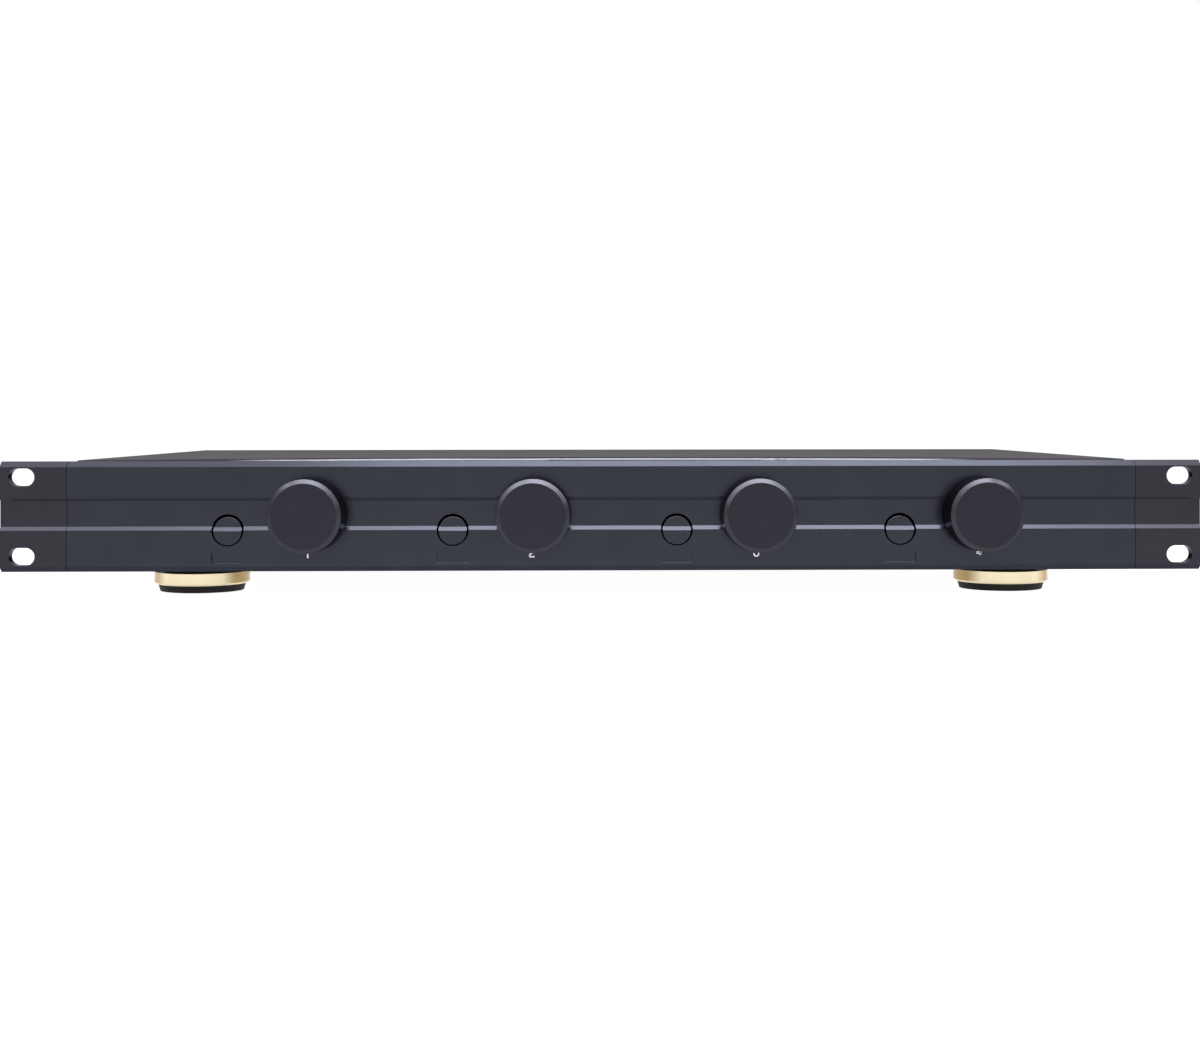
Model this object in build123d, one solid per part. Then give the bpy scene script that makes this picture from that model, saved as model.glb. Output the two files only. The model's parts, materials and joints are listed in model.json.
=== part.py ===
"""Four-zone speaker selector with volume controls, one rack unit high.

Frame: X across the rack to the right, Y from the front to the back, Z up.
Origin: under the middle of the whole unit, on the surface that its feet stand on.
"""

import os
from math import cos, radians

from build123d import *

# ------------------------------------------------------------------ driving dimensions, mm

# Rack format: a 19-inch panel, one unit high, held by a slotted ear at each end
RACK_WIDTH = 482.6
RACK_UNIT = 44.45
UNIT_CLEARANCE = 0.15
SLOT_FROM_END = 8.75
SLOT_FROM_UNIT_EDGE = 6.35
SLOT_LENGTH = 10.4
SLOT_WIDTH = 7.1

# Panel section, shared by the faceplate, the ears and the faces of the buttons
PANEL_THICKNESS = 5.0
EDGE_CHAMFER_HEIGHT = 2.2
EDGE_CHAMFER_DEPTH = 3.0
GROOVE_ABOVE_MIDDLE = 7.85
GROOVE_BELOW_MIDDLE = 5.45
GROOVE_DEPTH = 1.3
GROOVE_BEVEL_HEIGHT = 1.5

# Ears: a length of the panel section with a flange that runs back along the case
EAR_WIDTH = 26.45
EAR_GAP = 0.25
EAR_FLANGE_SHEET = 2.2
EAR_FLANGE_LENGTH = 41.5
EAR_FLANGE_INSET = 0.35
EAR_ROOT_RADIUS = 3.0
EAR_SCREW_RADIUS = 2.0
EAR_SCREW_HEAD_RADIUS = 3.9
EAR_SCREW_LENGTH = 8.0
EAR_SCREW_RISE = 11.0
EAR_SCREW_EDGE = 10.0

# Case: folded tray, folded cover, rear panel
CASE_DEPTH = 251.0
CASE_SETBACK = 0.45
COVER_SETBACK = 0.2
FACEPLATE_OVERHANG = 1.6
TRAY_SHEET = 1.2
COVER_SHEET = 1.0
COVER_FIT = 0.2
COVER_BEND_RADIUS = 1.8
COVER_FRONT_RISE = 0.6
COVER_BOW = 0.95
COVER_REAR_BOW = 0.04
COVER_GAP = 0.3
COVER_LIP = 4.0
COVER_LIP_RADIUS = 1.6
SIDE_FLANGE_HEIGHT = 14.0
SIDE_SCREW_COUNT = 3
SIDE_SCREW_FROM_EAR = 22.0
REAR_INSET = 1.2
REAR_FLANGE = 12.0
REAR_SCREW_COUNT = 4
REAR_SCREW_FROM_SIDE = 16.0

# Machine screws, M3 with a pan head, for everything but the ears and the feet
SCREW_RADIUS = 1.5
SCREW_HEAD_RADIUS = 2.75
SCREW_HEAD_HEIGHT = 2.0
SCREW_BITE = 3.0
THREAD_FIT = 0.05
CLEARANCE_HOLE = 0.25
HEAD_RIM_SHARE = 0.55
HEAD_CROWN_SHARE = 0.75
COUNTERSINK_SHARE = 0.85
RECESS_LENGTH_SHARE = 1.1
RECESS_WIDTH_SHARE = 0.24
RECESS_DEPTH_SHARE = 0.6
FACE_SCREW_RISE = 13.0
FACE_SCREW_FROM_END = 12.0

# Feet: a rubber foot snapped through a turned ring, on one M4 screw
FOOT_HEIGHT = 12.5
FOOT_SPACING = 344.0
FOOT_FROM_FACE = 54.7
FOOT_FROM_BACK = 45.0
FOOT_RING_RADIUS = 20.0
FOOT_RING_BOTTOM = 3.0
FOOT_RING_HEIGHT = 5.2
FOOT_RING_WALL = 3.6
FOOT_RING_CHAMFER = 1.1
FOOT_RING_CHAMFER_HEIGHT = 0.8
FOOT_RING_LIP = 1.0
FOOT_RING_LIP_DEPTH = 1.2
FOOT_RING_FIT = 0.05
FOOT_TREAD_TOP_RADIUS = 18.4
FOOT_TREAD_RADIUS = 17.55
FOOT_NECK_SNAP = 0.8
FOOT_WELL_RADIUS = 6.5
FOOT_WELL_DEPTH = 7.0
FOOT_SCREW_RADIUS = 2.0
FOOT_SCREW_HEAD_RADIUS = 4.0
FOOT_SCREW_HEAD_HEIGHT = 2.6
FOOT_SCREW_BITE = 3.0

# The row of four zones across the front
ZONE_COUNT = 4
ZONE_PITCH = 90.0
ZONE_ROW_MIDDLE = 16.9
BUTTON_FROM_KNOB = 32.5

# Volume knobs and their twelve-step rotary switches
KNOB_RISE = 0.7
KNOB_BASE_RADIUS = 15.1
KNOB_RIM_RADIUS = 14.7
KNOB_FACE_RADIUS = 13.0
KNOB_LENGTH = 13.8
KNOB_BEVEL = 1.3
KNOB_EDGE_RADIUS = 0.25
KNOB_GAP = 1.0
KNOB_WALL = 2.2
KNOB_FACE_THICKNESS = 2.6
KNOB_HUB_RADIUS = 5.6
SHAFT_RADIUS = 3.0
SHAFT_FLAT = 1.5
SHAFT_FIT = 0.05
KNOB_FIT = 0.02
SHAFT_DEPTH_IN_SWITCH = 10.0
SHAFT_END_PLAY = 0.5
BUSHING_RADIUS = 4.5
BUSHING_SETBACK = 0.4
BUSHING_FIT = 0.1
NUT_FLATS = 12.0
NUT_THICKNESS = 2.2
NUT_ROOM = 0.9
VOLUME_CAN_RADIUS = 12.0
VOLUME_CAN_LENGTH = 9.0
VOLUME_WAFER_RADIUS = 14.0
VOLUME_WAFER_SHEET = 1.6
VOLUME_TAIL_RADIUS = 5.0
VOLUME_TAIL_LENGTH = 3.5

# Autotransformer behind each volume control, held to the tray by a strap
TRANSFORMER_FROM_FACE = 74.0
CORE_WIDTH = 41.0
CORE_HEIGHT = 34.0
CORE_STACK = 16.0
CORE_LEG = 6.8
COIL_FIT = 0.2
COIL_OVERHANG = 6.5
COIL_CORNER = 2.5
STRAP_SHEET = 1.0
STRAP_WIDTH = 12.0
STRAP_FOOT = 9.0

# Push buttons and their switches
BUTTON_DROP = 5.5
BUTTON_SAG = 0.35
BUTTON_RADIUS = 5.7
BUTTON_EDGE_RADIUS = 0.3
BUTTON_ROOM = 0.75
BUTTON_LENGTH = 7.0
BUTTON_TRAVEL = 3.0
STEM_SIDE = 4.0
STEM_REACH = 5.0
STEM_ROOM = 0.3
PUSH_SWITCH_FROM_FACE = 12.0
PUSH_SWITCH_SIDE = 8.6
PUSH_SWITCH_LENGTH = 17.0

# Label recesses under the buttons
LABEL_DROP = 16.6
LABEL_WIDTH = 12.9
LABEL_HEIGHT = 3.9
LABEL_DEPTH = 0.9
LABEL_CHAMFER = 0.25

# Circuit boards on standoffs
BOARD_SHEET = 1.6
STANDOFF_RADIUS = 3.0
STANDOFF_SPIGOT_RADIUS = 2.1
BOARD_SCREW_EDGE = 5.0
SWITCH_BOARD_FROM_CAP = 0.8
SWITCH_BOARD_WIDTH = 32.0
SWITCH_BOARD_END = 16.0
SWITCH_BOARD_NOTCH_ROOM = 1.5
TERMINAL_BOARD_RISE = 7.0
TERMINAL_BOARD_WIDTH = 52.0
TERMINAL_BOARD_END = 20.0
TERMINAL_BOARD_GAP = 0.5

# Pull-off screw terminals: one for the amplifier and one for each zone, four poles each
INPUT_TERMINAL_X = 90.0
INPUT_TO_ZONES = 50.0
TERMINAL_SPACING = 36.0
POLE_COUNT = 4
POLE_PITCH = 5.08
HEADER_WIDTH = 23.0
HEADER_HEIGHT = 11.8
HEADER_LENGTH = 12.4
HEADER_WALL = 1.0
HEADER_ROOM = 0.3
PIN_SIDE = 1.0
PIN_LENGTH = 7.5
PIN_TAIL = 2.0
PIN_FIT = 0.02
PLUG_ROOM = 0.3
PLUG_INSERTION = 8.5
PLUG_SHOULDER = 1.0
PLUG_CREST = 2.6
PLUG_REACH = 10.0
WIRE_ENTRY = 3.4
WIRE_ENTRY_DEPTH = 6.0
CLAMP_WELL_RADIUS = 1.8
CLAMP_WELL_DEPTH = 2.5

# Protection switch: a small slide switch through the rear panel
PROTECTION_TO_INPUT = 36.0
PROTECTION_WIDTH = 15.0
PROTECTION_HEIGHT = 8.0
PROTECTION_LENGTH = 8.0
PROTECTION_WALL = 1.5
SLIDER_TRAVEL = 4.0
SLIDER_BASE_WIDTH = 6.0
SLIDER_BASE_HEIGHT = 4.4
SLIDER_BASE_LENGTH = 2.0
SLIDER_WIDTH = 3.8
SLIDER_HEIGHT = 2.8
SLIDER_REACH = 2.6
SLIDER_ROOM = 0.4

CUT = 1.0  # how far a cutting shape stands past the face that it opens
SAME_PLACE = 0.01  # how close two places are when they count as one

# ------------------------------------------------------------------ sizes worked out from them

PANEL_HEIGHT = RACK_UNIT - UNIT_CLEARANCE
FACEPLATE_WIDTH = RACK_WIDTH - 2 * (EAR_WIDTH + EAR_GAP)
CASE_WIDTH = FACEPLATE_WIDTH - 2 * FACEPLATE_OVERHANG
SLOT_X = RACK_WIDTH / 2 - SLOT_FROM_END
SLOT_RISE = RACK_UNIT / 2 - SLOT_FROM_UNIT_EDGE

KNOB_REACH = KNOB_GAP + KNOB_LENGTH
FACE_Y = (KNOB_REACH - CASE_DEPTH - PLUG_REACH) / 2
PANEL_BACK = FACE_Y + PANEL_THICKNESS
WALL_BACK = PANEL_BACK + TRAY_SHEET
CASE_BACK = FACE_Y + CASE_DEPTH
REAR_OUTER = CASE_BACK - REAR_INSET
REAR_INNER = REAR_OUTER - TRAY_SHEET

CASE_BOTTOM = FOOT_HEIGHT
PANEL_MIDDLE = CASE_BOTTOM - CASE_SETBACK + PANEL_HEIGHT / 2
CASE_TOP = PANEL_MIDDLE + PANEL_HEIGHT / 2 - COVER_SETBACK
TRAY_FLOOR = CASE_BOTTOM + TRAY_SHEET
WALL_TOP = CASE_TOP - COVER_LIP - COVER_FIT

COVER_HALF = CASE_WIDTH / 2
TRAY_HALF = COVER_HALF - COVER_SHEET - COVER_FIT

ZONES = range(ZONE_COUNT)
KNOB_X = [ZONE_ROW_MIDDLE + ZONE_PITCH * (zone - (ZONE_COUNT - 1) / 2) for zone in ZONES]
BUTTON_X = [x - BUTTON_FROM_KNOB for x in KNOB_X]
KNOB_Z = PANEL_MIDDLE + KNOB_RISE
HOLE_Z = PANEL_MIDDLE - BUTTON_DROP
BUTTON_Z = HOLE_Z - BUTTON_SAG
LABEL_Z = PANEL_MIDDLE - LABEL_DROP

NUT_HOLE_RADIUS = NUT_FLATS / 2 / cos(radians(30)) + NUT_ROOM
BUTTON_HOLE_RADIUS = BUTTON_RADIUS + BUTTON_ROOM
SWITCH_BACK = WALL_BACK + VOLUME_CAN_LENGTH + VOLUME_WAFER_SHEET

FEET = {
    "front_left": (-FOOT_SPACING / 2, FACE_Y + FOOT_FROM_FACE),
    "front_right": (FOOT_SPACING / 2, FACE_Y + FOOT_FROM_FACE),
    "rear_left": (-FOOT_SPACING / 2, CASE_BACK - FOOT_FROM_BACK),
    "rear_right": (FOOT_SPACING / 2, CASE_BACK - FOOT_FROM_BACK),
}
FOOT_RING_TOP = FOOT_RING_BOTTOM + FOOT_RING_HEIGHT
FOOT_CORE_RADIUS = FOOT_RING_RADIUS - FOOT_RING_WALL
FOOT_LIP_RADIUS = FOOT_CORE_RADIUS - FOOT_RING_LIP_DEPTH

SWITCH_BOARD_TOP = BUTTON_Z - PUSH_SWITCH_SIDE / 2
SWITCH_BOARD_FRONT = FACE_Y + BUTTON_LENGTH + BUTTON_TRAVEL + SWITCH_BOARD_FROM_CAP
SWITCH_BOARD_X = (BUTTON_X[0] - SWITCH_BOARD_END, KNOB_X[-1] + VOLUME_WAFER_RADIUS + SWITCH_BOARD_END)
TERMINAL_BOARD_TOP = TRAY_FLOOR + TERMINAL_BOARD_RISE + BOARD_SHEET
TERMINAL_BOARD_BACK = REAR_INNER - TERMINAL_BOARD_GAP
HEADER_Z = TERMINAL_BOARD_TOP + HEADER_HEIGHT / 2
ZONE_TERMINAL_X = [INPUT_TERMINAL_X - INPUT_TO_ZONES - TERMINAL_SPACING * zone for zone in ZONES]
PROTECTION_X = INPUT_TERMINAL_X + PROTECTION_TO_INPUT
PROTECTION_Z = TERMINAL_BOARD_TOP + PROTECTION_HEIGHT / 2
TERMINAL_BOARD_X = (ZONE_TERMINAL_X[-1] - TERMINAL_BOARD_END, PROTECTION_X + TERMINAL_BOARD_END)


# ------------------------------------------------------------------ shapes used throughout

def block(x, y, z):
    """Box between a low and a high value along each axis."""
    size = [high - low for low, high in (x, y, z)]
    middle = [(high + low) / 2 for low, high in (x, y, z)]
    return Pos(*middle) * Box(*size)


def around(middle, width):
    """Low and high value of a width centred on a middle."""
    return middle - width / 2, middle + width / 2


def rod_y(radius, x, y, z):
    """Cylinder along Y between two depths."""
    return Pos(x, (y[0] + y[1]) / 2, z) * Rot(90, 0, 0) * Cylinder(radius, y[1] - y[0])


def rod_z(radius, x, y, z):
    """Cylinder along Z between two heights."""
    return Pos(x, y, (z[0] + z[1]) / 2) * Cylinder(radius, z[1] - z[0])


def rod_x(radius, x, y, z):
    """Cylinder along X between two places."""
    return Pos((x[0] + x[1]) / 2, y, z) * Rot(0, 90, 0) * Cylinder(radius, x[1] - x[0])


def turned(points):
    """Solid of revolution about Z from an outline of (radius, height) points."""
    outline = make_face(Polyline(*[(radius, 0, height) for radius, height in points], close=True))
    return revolve(outline, Axis.Z, 360)


def about_y(shape, x, y, z):
    """Puts a shape that was turned about Z on a line along Y, its top towards the front."""
    return Pos(x, y, z) * Rot(90, 0, 0) * shape


def group(solids):
    """Several separate solids of one node."""
    return Compound(children=list(solids))


def cut_all(shape, tools):
    """Cuts every tool from a shape."""
    for tool in tools:
        shape = shape - tool
    return shape


def spread(low, high, count):
    """Evenly spaced places from low to high."""
    return [low + (high - low) * step / (count - 1) for step in range(count)]


def recess(radius, depth):
    """Cross recess of a screw, cut down from height zero."""
    bar = Box(radius * RECESS_LENGTH_SHARE, radius * RECESS_WIDTH_SHARE, depth)
    bar = Pos(0, 0, -depth / 2) * bar
    return bar + Rot(0, 0, 90) * bar


def pan_screw(radius, length, head_radius, head_height):
    """Pan-head screw along Z, its head above height zero and its shank below."""
    head = turned([
        (0, 0),
        (head_radius, 0),
        (head_radius, head_height * HEAD_RIM_SHARE),
        (head_radius * HEAD_CROWN_SHARE, head_height),
        (0, head_height),
    ])
    shank = rod_z(radius, 0, 0, (-length, 0))
    cross = recess(head_radius, head_height * RECESS_DEPTH_SHARE)
    return head + shank - Pos(0, 0, head_height) * cross


def small_screw(length):
    """M3 pan-head screw of the given length under its head."""
    return pan_screw(SCREW_RADIUS, length, SCREW_HEAD_RADIUS, SCREW_HEAD_HEIGHT)


def countersink(fit):
    """Countersunk head and shank of an ear screw along Z, its top at height zero."""
    depth = EAR_FLANGE_SHEET * COUNTERSINK_SHARE
    return turned([
        (0, 0),
        (EAR_SCREW_HEAD_RADIUS + fit, 0),
        (EAR_SCREW_RADIUS + fit, -depth),
        (EAR_SCREW_RADIUS + fit, -EAR_SCREW_LENGTH - fit),
        (0, -EAR_SCREW_LENGTH - fit),
    ])


# ------------------------------------------------------------------ front panel and ears

def panel_bar(x, drop=0.0):
    """Length of the panel section between two places, lowered by a drop."""
    middle = PANEL_MIDDLE - drop
    top = middle + PANEL_HEIGHT / 2
    bottom = middle - PANEL_HEIGHT / 2
    groove_top = middle + GROOVE_ABOVE_MIDDLE
    groove_bottom = middle - GROOVE_BELOW_MIDDLE
    section = [
        (PANEL_BACK, bottom),
        (PANEL_BACK, top),
        (FACE_Y + EDGE_CHAMFER_DEPTH, top),
        (FACE_Y, top - EDGE_CHAMFER_HEIGHT),
        (FACE_Y, groove_top),
        (FACE_Y + GROOVE_DEPTH, groove_top - GROOVE_BEVEL_HEIGHT),
        (FACE_Y + GROOVE_DEPTH, groove_bottom + GROOVE_BEVEL_HEIGHT),
        (FACE_Y, groove_bottom),
        (FACE_Y, bottom + EDGE_CHAMFER_HEIGHT),
        (FACE_Y + EDGE_CHAMFER_DEPTH, bottom),
    ]
    face = make_face(Polyline(*[(x[0], y, z) for y, z in section], close=True))
    return extrude(face, x[1] - x[0], dir=(1, 0, 0))


def face_screw_places():
    """Where the tray's front wall is screwed to the back of the faceplate."""
    end = FACEPLATE_WIDTH / 2 - FACE_SCREW_FROM_END
    between = [(KNOB_X[zone] + BUTTON_X[zone + 1]) / 2 for zone in range(0, ZONE_COUNT - 1, 2)]
    rows = (PANEL_MIDDLE - FACE_SCREW_RISE, PANEL_MIDDLE + FACE_SCREW_RISE)
    return [(x, z) for x in [-end, *between, end] for z in rows]


def label_recess(x):
    """Shallow recess for a label, its lower edge chamfered."""
    edge = LABEL_Z - LABEL_HEIGHT / 2
    well = block(
        around(x, LABEL_WIDTH),
        (FACE_Y - CUT, FACE_Y + LABEL_DEPTH),
        around(LABEL_Z, LABEL_HEIGHT),
    )
    chamfered = make_face(Polyline(
        (x - LABEL_WIDTH / 2, FACE_Y - CUT, edge),
        (x - LABEL_WIDTH / 2, FACE_Y - CUT, edge - LABEL_CHAMFER - CUT),
        (x - LABEL_WIDTH / 2, FACE_Y + LABEL_CHAMFER, edge),
        close=True,
    ))
    return well + extrude(chamfered, LABEL_WIDTH, dir=(1, 0, 0))


def faceplate():
    plate = panel_bar((-FACEPLATE_WIDTH / 2, FACEPLATE_WIDTH / 2))
    through = (FACE_Y - CUT, PANEL_BACK + CUT)
    tapped = (PANEL_BACK - SCREW_BITE, PANEL_BACK + CUT)
    tools = [rod_y(NUT_HOLE_RADIUS, x, through, KNOB_Z) for x in KNOB_X]
    tools += [rod_y(BUTTON_HOLE_RADIUS, x, through, HOLE_Z) for x in BUTTON_X]
    tools += [label_recess(x) for x in BUTTON_X]
    tools += [rod_y(SCREW_RADIUS + THREAD_FIT, x, tapped, z) for x, z in face_screw_places()]
    return cut_all(plate, tools)


def ear_screw_places():
    """Depths and heights of the screws that hold an ear to the side of the case."""
    depths = (PANEL_BACK + EAR_SCREW_EDGE, PANEL_BACK + EAR_FLANGE_LENGTH - EAR_SCREW_EDGE)
    heights = (PANEL_MIDDLE - EAR_SCREW_RISE, PANEL_MIDDLE + EAR_SCREW_RISE)
    return [(y, z) for y in depths for z in heights]


def on_side(shape, side, y, z):
    """Puts a shape made along Z on the outer face of an ear flange, its top outwards."""
    return Pos(side * (COVER_HALF + EAR_FLANGE_SHEET), y, z) * Rot(0, side * 90, 0) * shape


def rack_ear(side):
    """Ear on the right side (1) or the left side (-1)."""
    inner_end = FACEPLATE_WIDTH / 2 + EAR_GAP
    ends = sorted((side * inner_end, side * RACK_WIDTH / 2))
    plate = panel_bar(ends)
    outer = COVER_HALF + EAR_FLANGE_SHEET
    back = PANEL_BACK + EAR_FLANGE_LENGTH
    bottom = CASE_BOTTOM - CASE_SETBACK + EAR_FLANGE_INSET
    height = PANEL_HEIGHT - 2 * EAR_FLANGE_INSET
    corner = (side * (outer + EAR_ROOT_RADIUS), PANEL_BACK + EAR_ROOT_RADIUS)
    outline = [
        Line((side * COVER_HALF, PANEL_BACK), (side * COVER_HALF, back)),
        Line((side * COVER_HALF, back), (side * outer, back)),
        Line((side * outer, back), (side * outer, corner[1])),
        RadiusArc((side * outer, corner[1]), (corner[0], PANEL_BACK), -side * EAR_ROOT_RADIUS),
        Line((corner[0], PANEL_BACK), (side * COVER_HALF, PANEL_BACK)),
    ]
    flange = extrude(Pos(0, 0, bottom) * make_face(outline), height, dir=(0, 0, 1))
    ear = plate + flange
    straight = SLOT_LENGTH - SLOT_WIDTH
    through = (FACE_Y - CUT, PANEL_BACK + CUT)
    for z in (PANEL_MIDDLE - SLOT_RISE, PANEL_MIDDLE + SLOT_RISE):
        x = side * SLOT_X
        ear -= block(around(x, straight), through, around(z, SLOT_WIDTH))
        for end in around(x, straight):
            ear -= rod_y(SLOT_WIDTH / 2, end, through, z)
    for y, z in ear_screw_places():
        ear -= on_side(countersink(THREAD_FIT), side, y, z)
    return ear


def ear_screws():
    cross = recess(EAR_SCREW_HEAD_RADIUS, EAR_FLANGE_SHEET * RECESS_DEPTH_SHARE)
    screw = countersink(0) - cross
    places = ear_screw_places()
    return group(on_side(screw, side, y, z) for side in (-1, 1) for y, z in places)


# ------------------------------------------------------------------ case

def side_screw_places():
    """Depths of the screws along each side of the cover, and their height."""
    first = PANEL_BACK + EAR_FLANGE_LENGTH + SIDE_SCREW_FROM_EAR
    last = REAR_INNER - SIDE_SCREW_FROM_EAR
    height = CASE_BOTTOM + SIDE_FLANGE_HEIGHT / 2
    return [(y, height) for y in spread(first, last, SIDE_SCREW_COUNT)]


def rear_screw_places():
    """Screws up through the tray into the folded foot of the rear panel."""
    end = TRAY_HALF - REAR_SCREW_FROM_SIDE
    return [(x, REAR_INNER - REAR_FLANGE / 2) for x in spread(-end, end, REAR_SCREW_COUNT)]


def strap_screw_places():
    """Screws through the feet of the transformer straps."""
    reach = CORE_WIDTH / 2 + STRAP_SHEET + STRAP_FOOT / 2
    y = FACE_Y + TRANSFORMER_FROM_FACE
    return [(x + side * reach, y) for x in KNOB_X for side in (-1, 1)]


def switch_board_screw_places():
    """Corners of the long board behind the buttons."""
    back = SWITCH_BOARD_FRONT + SWITCH_BOARD_WIDTH - BOARD_SCREW_EDGE
    front = SWITCH_BOARD_FRONT + BOARD_SCREW_EDGE
    left, right = SWITCH_BOARD_X[0] + BOARD_SCREW_EDGE, SWITCH_BOARD_X[1] - BOARD_SCREW_EDGE
    return [(x, y) for x in (left, right) for y in (front, back)]


def terminal_board_screw_places():
    """Corners of the board that carries the terminals, clear of the rear panel's foot."""
    back = REAR_INNER - REAR_FLANGE - STANDOFF_RADIUS - CUT
    front = TERMINAL_BOARD_BACK - TERMINAL_BOARD_WIDTH + BOARD_SCREW_EDGE
    left, right = TERMINAL_BOARD_X[0] + BOARD_SCREW_EDGE, TERMINAL_BOARD_X[1] - BOARD_SCREW_EDGE
    return [(x, y) for x in (left, right) for y in (front, back)]


def base_tray():
    floor = block((-TRAY_HALF, TRAY_HALF), (PANEL_BACK, REAR_OUTER), (CASE_BOTTOM, TRAY_FLOOR))
    wall = block((-TRAY_HALF, TRAY_HALF), (PANEL_BACK, WALL_BACK), (CASE_BOTTOM, WALL_TOP))
    tray = floor + wall
    flange_back = REAR_INNER - COVER_FIT
    for side in (-1, 1):
        x = sorted((side * (TRAY_HALF - TRAY_SHEET), side * TRAY_HALF))
        tray += block(x, (PANEL_BACK, flange_back), (CASE_BOTTOM, CASE_BOTTOM + SIDE_FLANGE_HEIGHT))
        tray += block(x, (PANEL_BACK, PANEL_BACK + EAR_FLANGE_LENGTH), (CASE_BOTTOM, WALL_TOP))
    wall_cut = (PANEL_BACK - CUT, WALL_BACK + CUT)
    floor_cut = (CASE_BOTTOM - CUT, TRAY_FLOOR + CUT)
    tapped = SCREW_RADIUS + THREAD_FIT
    loose = SCREW_RADIUS + CLEARANCE_HOLE
    tools = [rod_y(BUSHING_RADIUS + BUSHING_FIT, x, wall_cut, KNOB_Z) for x in KNOB_X]
    tools += [rod_y(BUTTON_HOLE_RADIUS, x, wall_cut, HOLE_Z) for x in BUTTON_X]
    tools += [rod_y(loose, x, wall_cut, z) for x, z in face_screw_places()]
    tools += [rod_z(tapped, x, y, floor_cut) for x, y in strap_screw_places()]
    tools += [rod_z(loose, x, y, floor_cut) for x, y in rear_screw_places()]
    spigots = switch_board_screw_places() + terminal_board_screw_places()
    tools += [rod_z(STANDOFF_SPIGOT_RADIUS + KNOB_FIT, x, y, floor_cut) for x, y in spigots]
    tools += [rod_z(FOOT_SCREW_RADIUS + THREAD_FIT, x, y, floor_cut) for x, y in FEET.values()]
    for side in (-1, 1):
        x = sorted((side * (TRAY_HALF - TRAY_SHEET - CUT), side * (TRAY_HALF + CUT)))
        tools += [rod_x(tapped, x, y, z) for y, z in side_screw_places()]
        ear_hole = EAR_SCREW_RADIUS + THREAD_FIT
        tools += [rod_x(ear_hole, x, y, z) for y, z in ear_screw_places()]
    return cut_all(tray, tools)


def cover_section(y, inset, rise, bow):
    """Cross-section of the covered space at a depth: straight sides, round bends, bowed top."""
    half = COVER_HALF - inset
    top = CASE_TOP + rise - inset
    bend = COVER_BEND_RADIUS - inset
    bottom = CASE_BOTTOM - inset
    corner = bend * (1 - cos(radians(45)))
    outline = [
        Line((-half, y, bottom), (-half, y, top - bend)),
        ThreePointArc(
            (-half, y, top - bend),
            (-half + corner, y, top - corner),
            (-half + bend, y, top),
        ),
        ThreePointArc((-half + bend, y, top), (0, y, top + bow), (half - bend, y, top)),
        ThreePointArc(
            (half - bend, y, top),
            (half - corner, y, top - corner),
            (half, y, top - bend),
        ),
        Line((half, y, top - bend), (half, y, bottom)),
        Line((half, y, bottom), (-half, y, bottom)),
    ]
    return make_face(outline)


def top_edge(shape, y):
    """Bowed edge along the top of the cover or of the space in it, at a depth."""
    level = CASE_TOP - COVER_BEND_RADIUS
    here = [edge for edge in shape.edges() if abs(edge.center().Y - y) < SAME_PLACE]
    return [
        edge for edge in here
        if abs(edge.center().X) < SAME_PLACE and edge.center().Z > level
    ]


def top_cover():
    """Folded cover whose top rises and bows up along its front edge, above the faceplate."""
    front = PANEL_BACK + COVER_GAP
    outer_sections = [
        cover_section(front, 0, COVER_FRONT_RISE, COVER_BOW),
        cover_section(CASE_BACK, 0, 0, COVER_REAR_BOW),
    ]
    inner_sections = [
        cover_section(front + COVER_SHEET, COVER_SHEET, COVER_FRONT_RISE, COVER_BOW),
        cover_section(CASE_BACK + CUT, COVER_SHEET, 0, COVER_REAR_BOW),
    ]
    outer = loft(outer_sections, ruled=True)
    hollow = loft(inner_sections, ruled=True)
    hollow = fillet(top_edge(hollow, front + COVER_SHEET), COVER_LIP_RADIUS - COVER_SHEET)
    inside = COVER_HALF - COVER_SHEET
    mouth = block(
        (-inside, inside),
        (front - CUT, front + COVER_LIP_RADIUS + COVER_FIT),
        (CASE_BOTTOM - CUT, CASE_TOP - COVER_LIP),
    )
    cover = outer - hollow - mouth
    cover = fillet(top_edge(cover, front), COVER_LIP_RADIUS)
    for side in (-1, 1):
        x = sorted((side * (inside - CUT), side * (COVER_HALF + CUT)))
        for y, z in side_screw_places():
            cover -= rod_x(SCREW_RADIUS + CLEARANCE_HOLE, x, y, z)
        for y, z in ear_screw_places():
            cover -= rod_x(EAR_SCREW_RADIUS + CLEARANCE_HOLE, x, y, z)
    return cover


def header_places():
    """Places across the rear of the amplifier terminal and of the zone terminals."""
    return [INPUT_TERMINAL_X, *ZONE_TERMINAL_X]


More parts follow.
